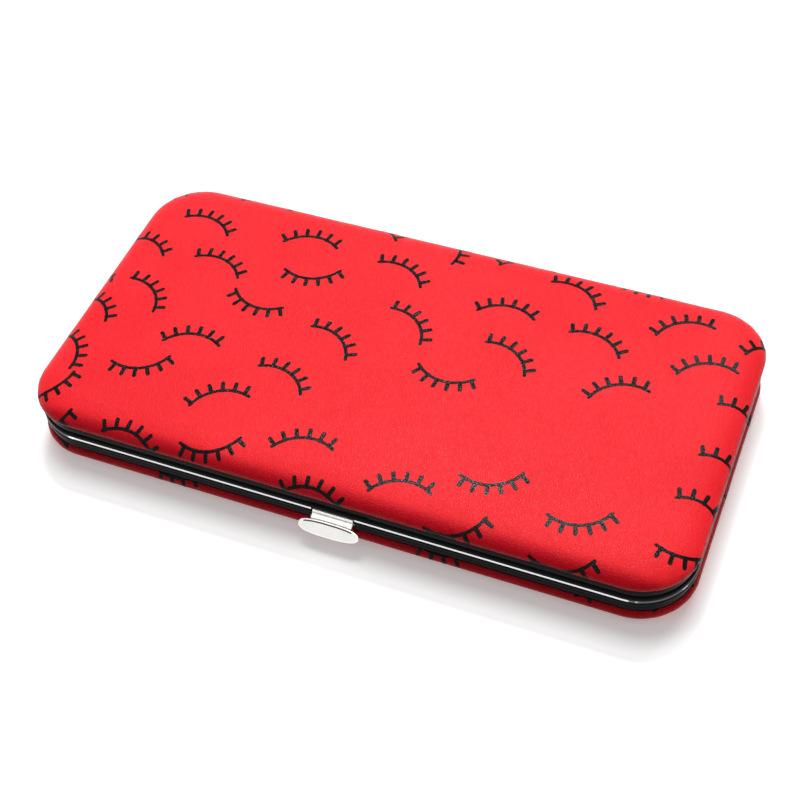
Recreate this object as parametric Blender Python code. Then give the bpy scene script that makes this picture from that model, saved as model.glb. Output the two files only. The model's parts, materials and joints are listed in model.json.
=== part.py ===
"""A clamshell tweezer case: two padded covers in a black metal frame.

The case is 180 mm long. X runs along the long side, -Y is the front with the push tab, +Z is up.
The origin lies on the floor, under the middle of the frame.

Most pieces follow the frame's outline, a rectangle with round corners. They are lofted from a
cross-section of (inset, rise) pairs. The inset is measured inwards from the outline, and the rise
away from the split between lid and base, upwards in the lid and downwards in the base.

The push tab stands locked, with its nose over the lip of the lid's catch. Pressing the pad down
turns it by 14 degrees about its pin, which draws the nose out past the lip. Both have ramps, so the
catch also pushes the sprung nose aside when the lid is pulled or closed.
"""

import math

import bmesh
import bpy
from mathutils import Matrix, Vector

MM = 0.001

# Overall form
CASE_LENGTH = 180.0 * MM
CASE_WIDTH = 92.4 * MM
CORNER_RADIUS = 15.0 * MM
HALF_HEIGHT = 9.5 * MM
SPLIT_GAP = 0.3 * MM
SEAT_GAP = 0.3 * MM
CUT_OVERRUN = 2.0 * MM
CORNER_STEPS = 8
INNER_CORNER_STEPS = 7
LEAST_CORNER = 0.5 * MM
SMOOTH_ANGLE = math.radians(40.0)
ROUND_PROFILE_SHARE = 0.5

# Frame channel
SHEET = 0.5 * MM
WALL_INSET = 0.45 * MM
BEAD_DEPTH = 0.5 * MM
BEAD_HEIGHT = 1.8 * MM
BEAD_STEPS = 4
OUTER_WALL_RISE = 4.1 * MM
INNER_WALL_EXTRA = 0.5 * MM

# Layers of a cover, from the outside in
COVER_THICKNESS = 0.8 * MM
COVER_OVERHANG = 0.4 * MM
COVER_ROLL = 1.5 * MM
SHOULDER_WIDTH = 9.0 * MM
SHOULDER_STEPS = 6
ROLL_STEPS = 4
LID_CROWN = 0.3 * MM
CROWN_INSET = 26.0 * MM
PADDING_THICKNESS = 1.2 * MM
SHELL_THICKNESS = 1.2 * MM
SHELL_STEPS = 4
TRAY_THICKNESS = 0.6 * MM
TRAY_RIM_RISE = 0.35 * MM
TRAY_CORNER_WIDTH = 2.0 * MM
TRAY_CORNER_HEIGHT = 1.5 * MM
TRAY_STEPS = 4

# Magnet strips under the base lining
MAGNET_WIDTH = 12.0 * MM
MAGNET_LENGTH = 60.0 * MM
MAGNET_THICKNESS = 0.6 * MM
MAGNET_SPACING = 80.0 * MM

# Hinges
HINGE_SPACING = 110.0 * MM
HINGE_LENGTH = 15.0 * MM
HINGE_PIN_RADIUS = 0.55 * MM
HINGE_PIN_CLEARANCE = 0.06 * MM
HINGE_PIN_HEAD = 0.4 * MM
HINGE_PIN_HEAD_RADIUS = 0.85 * MM
KNUCKLE_WALL = 0.54 * MM
KNUCKLE_GAP = 0.2 * MM
LID_KNUCKLE_SHARE = 0.4
LEAF_THICKNESS = 0.5 * MM
LEAF_TRIM = 0.2 * MM
ROUND_SIDES = 16

# Rivets
RIVET_RADIUS = 0.3 * MM
RIVET_CLEARANCE = 0.06 * MM
RIVET_HEAD_RADIUS = 0.55 * MM
RIVET_HEAD_HEIGHT = 0.3 * MM
RIVET_SIDES = 16

# Bracket, pin and spring of the push tab
BRACKET_THICKNESS = 0.5 * MM
BRACKET_HEIGHT = 3.3 * MM
BRACKET_WING = 1.25 * MM
BRACKET_RIVET_DROP = 2.4 * MM
EAR_WALL = 0.49 * MM
EAR_ARM_HEIGHT = 1.3 * MM
EAR_GAP = 0.15 * MM
LATCH_PIN_RADIUS = 0.35 * MM
LATCH_PIN_CLEARANCE = 0.06 * MM
SPRING_WIRE = 0.25 * MM
SPRING_CLEARANCE = 0.12 * MM
SPRING_PITCH = 0.45 * MM
SPRING_TURNS = 5.26
SPRING_STEPS = 12
SPRING_BACK_LEG = 0.75 * MM
SPRING_FRONT_LEG = 3.0 * MM

# Catch that hangs from the lid frame
CATCH_WIDTH = 8.0 * MM
CATCH_WING = 2.4 * MM
CATCH_THICKNESS = 0.5 * MM
CATCH_LIP_DEPTH = 0.75 * MM
CATCH_LIP_TOP = 1.2 * MM
CATCH_LIP_EDGE = 0.1 * MM
LOCK_SLOPE = math.radians(60.0)

# Push tab
NOTCH_WIDTH = 11.8 * MM
NOTCH_CLEARANCE = 0.35 * MM
NECK_THICKNESS = 0.7 * MM
NECK_ROUND = 0.6 * MM
NECK_ROUND_STEPS = 4
NECK_LEAN_DROP = 1.4 * MM
NECK_LEAN = math.radians(58.0)
NECK_FOOT_DROP = 3.2 * MM
NECK_FOOT_TILT = math.radians(10.0)
NOSE_REACH = 1.3 * MM
NOSE_TOP_DROP = 0.45 * MM
NOSE_RAMP_DEPTH = 0.6 * MM
CLOSING_SLOPE = math.radians(45.0)
BARREL_WALL = 0.34 * MM
BARREL_GAP = 0.15 * MM
BARREL_LENGTH = 9.4 * MM
BARREL_SLOT = 3.4 * MM
LUG_HEIGHT = 0.8 * MM
PAD_WIDTH = 16.5 * MM
PAD_DEPTH = 4.1 * MM
PAD_THICKNESS = 1.2 * MM
PAD_EDGE = 0.38 * MM
PAD_EDGE_STEPS = 3
PAD_STEPS = 28
PAD_SQUARENESS = 2.8
PAD_SEAT_SHARE = 0.25
PAD_TILT = math.radians(48.0)
PAD_REACH = 3.45 * MM
PAD_RISE = 0.75 * MM

# Places worked out from the sizes above
LID_SIDE = 1
BASE_SIDE = -1
SPLIT_Z = HALF_HEIGHT
FRONT_Y = -CASE_WIDTH / 2
BACK_Y = CASE_WIDTH / 2
WEB_RISE = SPLIT_GAP / 2
INNER_WALL_RISE = OUTER_WALL_RISE + INNER_WALL_EXTRA
CHANNEL_INSET = WALL_INSET + SHEET
COVER_EDGE_INSET = CHANNEL_INSET + SEAT_GAP
SHELL_INSET = COVER_EDGE_INSET + COVER_THICKNESS + SEAT_GAP
INNER_WALL_INSET = SHELL_INSET + SHELL_THICKNESS + SEAT_GAP
TRAY_INSET = INNER_WALL_INSET + SHEET + SEAT_GAP
LAYER_EDGE_RISE = WEB_RISE + SHEET + SEAT_GAP
COVER_WIDEST_RISE = OUTER_WALL_RISE + SEAT_GAP + COVER_ROLL
PLATEAU_INSET = SHOULDER_WIDTH - COVER_OVERHANG
SHELL_PLATEAU_RISE = HALF_HEIGHT - COVER_THICKNESS - PADDING_THICKNESS - 2 * SEAT_GAP
SHELL_INNER_RISE = SHELL_PLATEAU_RISE - SHELL_THICKNESS
TRAY_FLOOR_RISE = SHELL_INNER_RISE - SEAT_GAP
KNUCKLE_RADIUS = HINGE_PIN_RADIUS + HINGE_PIN_CLEARANCE + KNUCKLE_WALL
HINGE_STANDOFF = KNUCKLE_RADIUS + SEAT_GAP
LEAF_RISE = OUTER_WALL_RISE - SEAT_GAP
BRACKET_INSET = INNER_WALL_INSET - SEAT_GAP - BRACKET_THICKNESS
EAR_RADIUS = LATCH_PIN_RADIUS + LATCH_PIN_CLEARANCE + EAR_WALL
EAR_SPAN = BARREL_LENGTH + 2 * (EAR_GAP + BRACKET_THICKNESS)
BRACKET_WIDTH = EAR_SPAN + 2 * BRACKET_WING
BRACKET_RIVET_SPACING = EAR_SPAN + BRACKET_WING
BARREL_RADIUS = LATCH_PIN_RADIUS + LATCH_PIN_CLEARANCE + BARREL_WALL
PIVOT_INSET = BRACKET_INSET - BARREL_GAP - BARREL_RADIUS
CATCH_PLATE_INSET = BRACKET_INSET - SEAT_GAP - CATCH_THICKNESS
CATCH_LIP_INSET = CATCH_PLATE_INSET - CATCH_LIP_DEPTH
CATCH_LIP_DROP = CATCH_LIP_TOP + CATCH_LIP_DEPTH * math.tan(LOCK_SLOPE)
CATCH_DROP = CATCH_LIP_DROP + CATCH_LIP_EDGE
PIVOT_DROP = CATCH_DROP + SEAT_GAP + BARREL_RADIUS
CATCH_FOOT_RISE = LAYER_EDGE_RISE
CATCH_FOOT_WIDTH = CATCH_WIDTH + 2 * CATCH_WING
CATCH_RIVET_INSET = (CHANNEL_INSET + INNER_WALL_INSET) / 2
CATCH_RIVET_SPACING = CATCH_WIDTH + SEAT_GAP + CATCH_WING
CATCH_RIVET_RISE = CATCH_FOOT_RISE + CATCH_THICKNESS + RIVET_CLEARANCE
NECK_WIDTH = NOTCH_WIDTH - 2 * NOTCH_CLEARANCE
NOSE_TIP_INSET = CATCH_PLATE_INSET - SEAT_GAP
NECK_BACK_INSET = NOSE_TIP_INSET - NOSE_REACH
NECK_FRONT_INSET = NECK_BACK_INSET - NECK_THICKNESS
NECK_FOOT_INSET = NECK_FRONT_INSET - (NECK_FOOT_DROP - NECK_LEAN_DROP) / math.tan(NECK_LEAN)
PAD_CENTRE_INSET = NECK_BACK_INSET - PAD_REACH
PAD_CENTRE_DROP = PIVOT_DROP - PAD_RISE
POCKET_WIDTH = BRACKET_WIDTH + 2 * SEAT_GAP
POCKET_DROP = PIVOT_DROP + EAR_RADIUS + SEAT_GAP
LID_POCKET_RISE = CATCH_RIVET_RISE + RIVET_HEAD_HEIGHT + SEAT_GAP


def make_material(name, colour, roughness, metallic):
    """Return a material with one Principled shader."""
    material = bpy.data.materials.new(name)
    material.use_nodes = True
    shader = material.node_tree.nodes["Principled BSDF"]
    shader.inputs["Base Color"].default_value = (*colour, 1.0)
    shader.inputs["Roughness"].default_value = roughness
    shader.inputs["Metallic"].default_value = metallic
    material.diffuse_color = (*colour, 1.0)
    return material


def red_leatherette():
    return make_material("red_leatherette", (0.62, 0.01, 0.02), 0.42, 0.0)


def black_enamel():
    return make_material("black_enamel", (0.01, 0.01, 0.012), 0.12, 0.0)


def nickel():
    return make_material("nickel", (0.78, 0.77, 0.74), 0.2, 1.0)


def foam():
    return make_material("foam", (0.8, 0.78, 0.7), 0.9, 0.0)


def moulded_board():
    return make_material("moulded_board", (0.05, 0.05, 0.05), 0.6, 0.0)


def velvet():
    return make_material("velvet", (0.03, 0.03, 0.035), 0.95, 0.0)


def magnet():
    return make_material("magnet", (0.12, 0.1, 0.09), 0.7, 0.0)


def steel():
    return make_material("steel", (0.6, 0.6, 0.6), 0.3, 1.0)


def finish(name, bm, material, smooth=True):
    """Turn a bmesh into a named object with outward faces."""
    bmesh.ops.recalc_face_normals(bm, faces=bm.faces)
    mesh = bpy.data.meshes.new(name)
    bm.to_mesh(mesh)
    bm.free()
    if smooth:
        mesh.shade_smooth()
        mesh.set_sharp_from_angle(angle=SMOOTH_ANGLE)
    mesh.materials.append(material)
    piece = bpy.data.objects.new(name, mesh)
    bpy.context.scene.collection.objects.link(piece)
    return piece


def bake(piece):
    """Apply the piece's modifiers to its mesh and drop them."""
    graph = bpy.context.evaluated_depsgraph_get()
    old = piece.data
    piece.data = bpy.data.meshes.new_from_object(piece.evaluated_get(graph))
    piece.modifiers.clear()
    bpy.data.meshes.remove(old)
    piece.data.name = piece.name


def combine(piece, tool, operation):
    """Cut the tool out of the piece, or join the two, and remove the tool."""
    modifier = piece.modifiers.new(operation.lower(), "BOOLEAN")
    modifier.operation = operation
    modifier.object = tool
    bake(piece)
    bpy.data.objects.remove(tool)


def rounded_outline(inset, steps):
    """Return the frame's outline, drawn in by inset, as (x, y) points."""
    radius = max(CORNER_RADIUS - inset, LEAST_CORNER)
    half_x = CASE_LENGTH / 2 - inset - radius
    half_y = CASE_WIDTH / 2 - inset - radius
    points = []
    for corner in range(4):
        sign_x = 1 if corner in (0, 3) else -1
        sign_y = 1 if corner in (0, 1) else -1
        for step in range(steps + 1):
            angle = math.radians(90.0) * (corner + step / steps)
            x = sign_x * half_x + radius * math.cos(angle)
            y = sign_y * half_y + radius * math.sin(angle)
            points.append((x, y))
    return points


def loft(name, profile, side, material, closed, steps=CORNER_STEPS):
    """Carry a cross-section round the outline: a ring if closed, or else a dish with two caps."""
    bm = bmesh.new()
    loops = []
    for inset, rise in profile:
        z = SPLIT_Z + side * rise
        loops.append([bm.verts.new((x, y, z)) for x, y in rounded_outline(inset, steps)])
    pairs = list(zip(loops, loops[1:]))
    if closed:
        pairs.append((loops[-1], loops[0]))
    else:
        bm.faces.new(loops[0])
        bm.faces.new(loops[-1])
    for near, far in pairs:
        for index in range(len(near)):
            bm.faces.new((near[index - 1], near[index], far[index], far[index - 1]))
    return finish(name, bm, material)


def quarter(centre, radii, start, end, steps):
    """Return points of an ellipse about (inset, rise), with angles in degrees from the outside."""
    points = []
    for step in range(steps + 1):
        angle = math.radians(start + (end - start) * step / steps)
        inset = centre[0] - radii[0] * math.cos(angle)
        rise = centre[1] + radii[1] * math.sin(angle)
        points.append((inset, rise))
    return points


def frame_profile():
    """A U channel of sheet metal whose outer wall starts in a half-round bead at the split."""
    bead_centre = (BEAD_DEPTH, WEB_RISE + BEAD_HEIGHT / 2)
    bead = quarter(bead_centre, (BEAD_DEPTH, BEAD_HEIGHT / 2), -90.0, 90.0, 2 * BEAD_STEPS)
    wall = [
        (WALL_INSET, OUTER_WALL_RISE),
        (CHANNEL_INSET, OUTER_WALL_RISE),
        (CHANNEL_INSET, WEB_RISE + SHEET),
        (INNER_WALL_INSET, WEB_RISE + SHEET),
        (INNER_WALL_INSET, INNER_WALL_RISE),
        (INNER_WALL_INSET + SHEET, INNER_WALL_RISE),
        (INNER_WALL_INSET + SHEET, WEB_RISE),
    ]
    return bead + wall


def cover_profile(crown):
    """Leatherette: tucked in the channel, rolled out over its edge and round the shoulder."""
    widest = COVER_WIDEST_RISE
    overhang = COVER_EDGE_INSET + COVER_OVERHANG
    roll_rise = widest - OUTER_WALL_RISE - SEAT_GAP
    shoulder_rise = HALF_HEIGHT - crown - widest
    inner_inset = COVER_EDGE_INSET + COVER_THICKNESS
    inner_width = SHOULDER_WIDTH - COVER_THICKNESS
    outer_shoulder = quarter((PLATEAU_INSET, widest), (SHOULDER_WIDTH, shoulder_rise),
                             90.0, 0.0, SHOULDER_STEPS)
    outer_roll = quarter((COVER_EDGE_INSET, widest), (overhang, roll_rise),
                         0.0, -90.0, ROLL_STEPS)
    inner_roll = quarter((inner_inset, widest), (overhang, roll_rise - COVER_THICKNESS),
                         -90.0, 0.0, ROLL_STEPS)
    inner_shoulder = quarter((PLATEAU_INSET, widest),
                             (inner_width, shoulder_rise - COVER_THICKNESS),
                             0.0, 90.0, SHOULDER_STEPS)
    middle = [(CROWN_INSET, HALF_HEIGHT)] if crown else []
    inner_middle = [(CROWN_INSET, HALF_HEIGHT - COVER_THICKNESS)] if crown else []
    tuck = [(COVER_EDGE_INSET, LAYER_EDGE_RISE), (inner_inset, LAYER_EDGE_RISE)]
    outer = middle + outer_shoulder + outer_roll[1:]
    inner = inner_roll + inner_shoulder[1:] + inner_middle
    return outer + tuck + inner


def padding_profile(crown):
    """Foam between the leatherette and the shell, down to where the cover is widest."""
    outer_width = SHOULDER_WIDTH - COVER_THICKNESS - SEAT_GAP
    top = SHELL_PLATEAU_RISE + SEAT_GAP + PADDING_THICKNESS
    outer_rise = top - crown - COVER_WIDEST_RISE
    inner_width = PLATEAU_INSET - SHELL_INSET + SEAT_GAP
    inner_rise = SHELL_PLATEAU_RISE + SEAT_GAP - INNER_WALL_RISE
    start = math.degrees(math.asin((COVER_WIDEST_RISE - INNER_WALL_RISE) / inner_rise))
    outer = quarter((PLATEAU_INSET, COVER_WIDEST_RISE), (outer_width, outer_rise),
                    90.0, 0.0, SHELL_STEPS + 1)
    inner = quarter((PLATEAU_INSET, INNER_WALL_RISE), (inner_width, inner_rise),
                    start, 90.0, SHELL_STEPS)
    middle = [(CROWN_INSET, top)] if crown else []
    return middle + outer + inner


def shell_profile():
    """Stiff shell: an upright edge in the channel, a round shoulder and a flat plateau."""
    outer_width = PLATEAU_INSET - SHELL_INSET
    outer_rise = SHELL_PLATEAU_RISE - INNER_WALL_RISE
    outer = quarter((PLATEAU_INSET, INNER_WALL_RISE), (outer_width, outer_rise),
                    90.0, 0.0, SHELL_STEPS)
    inner = quarter((PLATEAU_INSET, INNER_WALL_RISE),
                    (outer_width - SHELL_THICKNESS, outer_rise - SHELL_THICKNESS),
                    0.0, 90.0, SHELL_STEPS)
    edge = [(SHELL_INSET, LAYER_EDGE_RISE), (SHELL_INSET + SHELL_THICKNESS, LAYER_EDGE_RISE)]
    return outer + edge + inner


def tray_profile():
    """Lined tray: a rim at the split, an upright wall, a round corner and a flat floor."""
    centre = (TRAY_INSET + TRAY_CORNER_WIDTH, TRAY_FLOOR_RISE - TRAY_CORNER_HEIGHT)
    outer_radii = (TRAY_CORNER_WIDTH, TRAY_CORNER_HEIGHT)
    inner_radii = (TRAY_CORNER_WIDTH - TRAY_THICKNESS, TRAY_CORNER_HEIGHT - TRAY_THICKNESS)
    outer = quarter(centre, outer_radii, 90.0, 0.0, TRAY_STEPS)
    inner = quarter(centre, inner_radii, 0.0, 90.0, TRAY_STEPS)
    rim = [(TRAY_INSET, TRAY_RIM_RISE), (TRAY_INSET + TRAY_THICKNESS, TRAY_RIM_RISE)]
    return outer + rim + inner


def box(name, low, high, material):
    """A box between two corners."""
    bm = bmesh.new()
    size = [high[i] - low[i] for i in range(3)]
    centre = [(high[i] + low[i]) / 2 for i in range(3)]
    bmesh.ops.create_cube(bm, size=1.0, matrix=Matrix.Translation(centre) @ Matrix.Diagonal((*size, 1.0)))
    return finish(name, bm, material, smooth=False)


def front_box(name, half_width, insets, rises, side, material):
    """A box at the middle of the front, between two insets and two rises."""
    z_pair = sorted(SPLIT_Z + side * rise for rise in rises)
    low = (-half_width, FRONT_Y + insets[0], z_pair[0])
    high = (half_width, FRONT_Y + insets[1], z_pair[1])
    return box(name, low, high, material)


def extrude_along_x(name, outline, x_low, x_high, material):
    """Extrude a (y, z) outline along X."""
    bm = bmesh.new()
    verts = [bm.verts.new((x_low, y, z)) for y, z in outline]
    face = bm.faces.new(verts)
    grown = bmesh.ops.extrude_face_region(bm, geom=[face])
    moved = [item for item in grown["geom"] if isinstance(item, bmesh.types.BMVert)]
    bmesh.ops.translate(bm, verts=moved, vec=(x_high - x_low, 0.0, 0.0))
    return finish(name, bm, material)


def rod(name, centre, axis, radius, length, material, sides=ROUND_SIDES):
    """A round rod about its centre, along X, Y or Z."""
    turn = Vector((0.0, 0.0, 1.0)).rotation_difference(Vector(axis)).to_matrix().to_4x4()
    bm = bmesh.new()
    bmesh.ops.create_cone(bm, cap_ends=True, segments=sides, radius1=radius, radius2=radius,
                          depth=length, matrix=Matrix.Translation(centre) @ turn)
    return finish(name, bm, material)


def set_origin(piece, point):
    """Move a piece's origin to a point and leave the piece where it is."""
    piece.data.transform(Matrix.Translation(-Vector(point)))
    piece.location = point


def front_point(inset, drop):
    """The (y, z) place of an inset and a drop below the split, at the front."""
    return (FRONT_Y + inset, SPLIT_Z - drop)


def make_base_frame():
    """The base's channel, with a notch for the push tab through its outer wall and web."""
    frame = loft("base_frame", frame_profile(), BASE_SIDE, black_enamel(), closed=True)
    web_cut = INNER_WALL_INSET - SEAT_GAP
    notch = front_box("notch", NOTCH_WIDTH / 2, (-CUT_OVERRUN, web_cut),
                      (-CUT_OVERRUN, OUTER_WALL_RISE + CUT_OVERRUN), BASE_SIDE, steel())
    combine(frame, notch, "DIFFERENCE")
    for x in rivet_places(BRACKET_RIVET_SPACING):
        combine(frame, bracket_rivet_hole(x), "DIFFERENCE")


def make_lid_frame():
    """The lid's channel, with a slot through its web for the catch."""
    frame = loft("lid_frame", frame_profile(), LID_SIDE, black_enamel(), closed=True)
    slot = front_box("slot", CATCH_WIDTH / 2 + SEAT_GAP,
                     (CATCH_LIP_INSET - SEAT_GAP, CATCH_PLATE_INSET + CATCH_THICKNESS + SEAT_GAP),
                     (-CUT_OVERRUN, CATCH_FOOT_RISE), LID_SIDE, steel())
    combine(frame, slot, "DIFFERENCE")
    for x in rivet_places(CATCH_RIVET_SPACING):
        combine(frame, catch_rivet_hole(x), "DIFFERENCE")


def clasp_pocket(side, rise):
    """Cutter that clears the edges of a cover's layers from the channel behind the clasp."""
    return front_box("pocket", POCKET_WIDTH / 2, (-CUT_OVERRUN, INNER_WALL_INSET),
                     (-CUT_OVERRUN, rise), side, steel())


def make_cover(name, side, crown, pocket_rise):
    """The outer leatherette of one half."""
    cover = loft(name, cover_profile(crown), side, red_leatherette(), closed=False)
    combine(cover, clasp_pocket(side, pocket_rise), "DIFFERENCE")


def make_shell(name, side, pocket_rise):
    """The stiff shell of one half."""
    shell = loft(name, shell_profile(), side, moulded_board(), False, INNER_CORNER_STEPS)
    combine(shell, clasp_pocket(side, pocket_rise), "DIFFERENCE")
    return shell


def magnet_box(name, x, clearance, rises, material):
    """A box at a magnet's place, grown sideways by a clearance."""
    half_x = MAGNET_WIDTH / 2 + clearance
    half_y = MAGNET_LENGTH / 2 + clearance
    z_pair = sorted(SPLIT_Z - rise for rise in rises)
    return box(name, (x - half_x, -half_y, z_pair[0]), (x + half_x, half_y, z_pair[1]), material)


def make_magnets(shell):
    """Two flat strips in pockets on the inner face of the base shell."""
    for label, sign in (("left", -1), ("right", 1)):
        x = sign * MAGNET_SPACING / 2
        pocket = magnet_box("pocket", x, SEAT_GAP,
                            (SHELL_INNER_RISE - SEAT_GAP, SHELL_INNER_RISE + MAGNET_THICKNESS + SEAT_GAP),
                            steel())
        combine(shell, pocket, "DIFFERENCE")
        magnet_box("magnet_strip_" + label, x, 0.0,
                   (SHELL_INNER_RISE, SHELL_INNER_RISE + MAGNET_THICKNESS), magnet())


def hinge_axis():
    """The (y, z) place of the hinge axis behind the case."""
    return (BACK_Y + HINGE_STANDOFF, SPLIT_Z)


def knuckle_spans():
    """Return the x spans, about a hinge's middle, of the knuckles and windows of each leaf."""
    half = HINGE_LENGTH / 2
    inner = HINGE_LENGTH * LID_KNUCKLE_SHARE / 2
    outer = inner + KNUCKLE_GAP
    lid = {"spans": [(-inner, inner)], "windows": [(-half, -inner), (inner, half)]}
    base = {"spans": [(-half, -outer), (outer, half)], "windows": [(-outer, outer)]}
    return lid, base


def leaf_outline(side):
    """The (y, z) outline of a leaf that stands against the bead and nests below it."""
    bead_y = BACK_Y + SEAT_GAP
    wall_y = BACK_Y - WALL_INSET + SEAT_GAP
    outer_y = bead_y + LEAF_THICKNESS
    bead_rise = WEB_RISE + BEAD_HEIGHT + SEAT_GAP
    neck_rise = KNUCKLE_RADIUS / 2
    rises = [(bead_y, neck_rise), (outer_y, neck_rise), (outer_y, LEAF_RISE), (wall_y, LEAF_RISE),
             (wall_y, bead_rise), (bead_y, bead_rise)]
    return [(y, SPLIT_Z + side * rise) for y, rise in rises]


def leaf_window(x, span, side):
    """Cutter that clears a leaf where the other leaf's knuckles turn."""
    z_pair = sorted((SPLIT_Z - side * CUT_OVERRUN, SPLIT_Z + side * (KNUCKLE_RADIUS + SEAT_GAP)))
    low = (x + span[0] - LEAF_TRIM, BACK_Y - CUT_OVERRUN, z_pair[0])
    high = (x + span[1] + LEAF_TRIM, BACK_Y + CUT_OVERRUN, z_pair[1])
    return box("window", low, high, steel())


def make_leaf(name, x, spans, windows, side):
    """A hinge leaf with its knuckles, bored for the pin."""
    axis_y, axis_z = hinge_axis()
    half = HINGE_LENGTH / 2
    leaf = extrude_along_x(name, leaf_outline(side), x - half + LEAF_TRIM, x + half - LEAF_TRIM, nickel())
    for window in windows:
        combine(leaf, leaf_window(x, window, side), "DIFFERENCE")
    for low, high in spans:
        middle = (x + (low + high) / 2, axis_y, axis_z)
        knuckle = rod("knuckle", middle, (1, 0, 0), KNUCKLE_RADIUS, high - low, nickel())
        combine(leaf, knuckle, "UNION")
    bore = rod("bore", (x, axis_y, axis_z), (1, 0, 0), HINGE_PIN_RADIUS + HINGE_PIN_CLEARANCE,
               HINGE_LENGTH + 2 * CUT_OVERRUN, steel())
    combine(leaf, bore, "DIFFERENCE")
    return leaf


def make_hinges():
    """Two knuckle hinges on the back, with two base knuckles, one lid knuckle and a pin each."""
    lid_spans, base_spans = knuckle_spans()
    axis_y, axis_z = hinge_axis()
    for label, sign in (("left", -1), ("right", 1)):
        x = sign * HINGE_SPACING / 2
        make_leaf("base_hinge_leaf_" + label, x, base_spans["spans"], base_spans["windows"], BASE_SIDE)
        lid_leaf = make_leaf("lid_hinge_leaf_" + label, x, lid_spans["spans"], lid_spans["windows"],
                             LID_SIDE)
        set_origin(lid_leaf, (x, axis_y, axis_z))
        end = HINGE_LENGTH / 2 + HINGE_PIN_CLEARANCE
        pin = rod("hinge_pin_" + label, (x, axis_y, axis_z), (1, 0, 0), HINGE_PIN_RADIUS,
                  2 * (end + HINGE_PIN_HEAD), steel())
        for head_sign in (-1, 1):
            head_x = x + head_sign * (end + HINGE_PIN_HEAD / 2)
            head = rod("head", (head_x, axis_y, axis_z), (1, 0, 0), HINGE_PIN_HEAD_RADIUS,
                       HINGE_PIN_HEAD, steel())
            combine(pin, head, "UNION")


def rivet_places(spacing):
    """Return the x places of a pair of rivets."""
    return (-spacing / 2, spacing / 2)


def bracket_rivet_hole(x):
    """Cutter for a bracket rivet, along Y through the bracket and the frame's inner wall."""
    y, z = front_point(INNER_WALL_INSET, BRACKET_RIVET_DROP)
    return rod("rivet_hole", (x, y, z), (0, 1, 0), RIVET_RADIUS + RIVET_CLEARANCE, 2 * CUT_OVERRUN,
               steel(), RIVET_SIDES)


def catch_rivet_hole(x):
    """Cutter for a catch rivet, along Z through the foot and the lid frame's web."""
    y, z = front_point(CATCH_RIVET_INSET, -CATCH_FOOT_RISE)
    return rod("rivet_hole", (x, y, z), (0, 0, 1), RIVET_RADIUS + RIVET_CLEARANCE, 2 * CUT_OVERRUN,
               steel(), RIVET_SIDES)


def make_bracket():
    """A plate on the frame's inner wall with two ears that hold the tab's pin."""
    y_low, _ = front_point(BRACKET_INSET, 0.0)
    _, z_bottom = front_point(0.0, PIVOT_DROP + EAR_RADIUS)
    z_top = z_bottom + BRACKET_HEIGHT
    bracket = box("latch_bracket", (-BRACKET_WIDTH / 2, y_low, z_bottom),
                  (BRACKET_WIDTH / 2, y_low + BRACKET_THICKNESS, z_top), steel())
    pin_y, pin_z = front_point(PIVOT_INSET, PIVOT_DROP)
    for sign in (-1, 1):
        x = sign * (EAR_SPAN - BRACKET_THICKNESS) / 2
        ear = rod("ear", (x, pin_y, pin_z), (1, 0, 0), EAR_RADIUS, BRACKET_THICKNESS, steel())
        arm = box("arm", (x - BRACKET_THICKNESS / 2, pin_y, pin_z - EAR_ARM_HEIGHT / 2),
                  (x + BRACKET_THICKNESS / 2, y_low + BRACKET_THICKNESS / 2, pin_z + EAR_ARM_HEIGHT / 2),
                  steel())
        combine(ear, arm, "UNION")
        combine(bracket, ear, "UNION")
    bore = rod("bore", (0.0, pin_y, pin_z), (1, 0, 0), LATCH_PIN_RADIUS + LATCH_PIN_CLEARANCE,
               EAR_SPAN + CUT_OVERRUN, steel(), RIVET_SIDES)
    combine(bracket, bore, "DIFFERENCE")
    for x in rivet_places(BRACKET_RIVET_SPACING):
        combine(bracket, bracket_rivet_hole(x), "DIFFERENCE")


def make_rivet(name, seat, axis, grip):
    """A rivet whose head stands on the seat and whose shank runs the grip's length along the axis."""
    direction = Vector(axis)
    length = grip + RIVET_HEAD_HEIGHT
    head_middle = Vector(seat) - direction * RIVET_HEAD_HEIGHT / 2
    shank_middle = Vector(seat) + direction * (grip - RIVET_HEAD_HEIGHT) / 2
    rivet = rod(name, shank_middle, axis, RIVET_RADIUS, length, nickel(), RIVET_SIDES)
    head = rod("head", head_middle, axis, RIVET_HEAD_RADIUS, RIVET_HEAD_HEIGHT, nickel(), RIVET_SIDES)
    combine(rivet, head, "UNION")


def make_bracket_rivets():
    """Two rivets through the bracket and the frame's inner wall, flush inside."""
    head_inset = BRACKET_INSET - RIVET_CLEARANCE
    grip = INNER_WALL_INSET + SHEET - head_inset
    y, z = front_point(head_inset, BRACKET_RIVET_DROP)
    for label, x in zip(("left", "right"), rivet_places(BRACKET_RIVET_SPACING)):
        make_rivet("bracket_rivet_" + label, (x, y, z), (0, 1, 0), grip)


def make_catch_rivets():
    """Two rivets through the catch's foot and the lid frame's web, flush below."""
    y, z = front_point(CATCH_RIVET_INSET, -CATCH_RIVET_RISE)
    grip = CATCH_RIVET_RISE - WEB_RISE
    for label, x in zip(("left", "right"), rivet_places(CATCH_RIVET_SPACING)):
        make_rivet("catch_rivet_" + label, (x, y, z), (0, 0, -1), grip)


def make_latch_pin():
    """The pin through the ears and the tab's barrel."""
    y, z = front_point(PIVOT_INSET, PIVOT_DROP)
    rod("latch_pin", (0.0, y, z), (1, 0, 0), LATCH_PIN_RADIUS,
        EAR_SPAN + 2 * LATCH_PIN_CLEARANCE, steel(), RIVET_SIDES)


def pad_axes():
    """Unit vectors, in (y, z), along the pad away from the case and out of its face."""
    along = (-math.cos(PAD_TILT), -math.sin(PAD_TILT))
    outward = (-math.sin(PAD_TILT), math.cos(PAD_TILT))
    return along, outward


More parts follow.
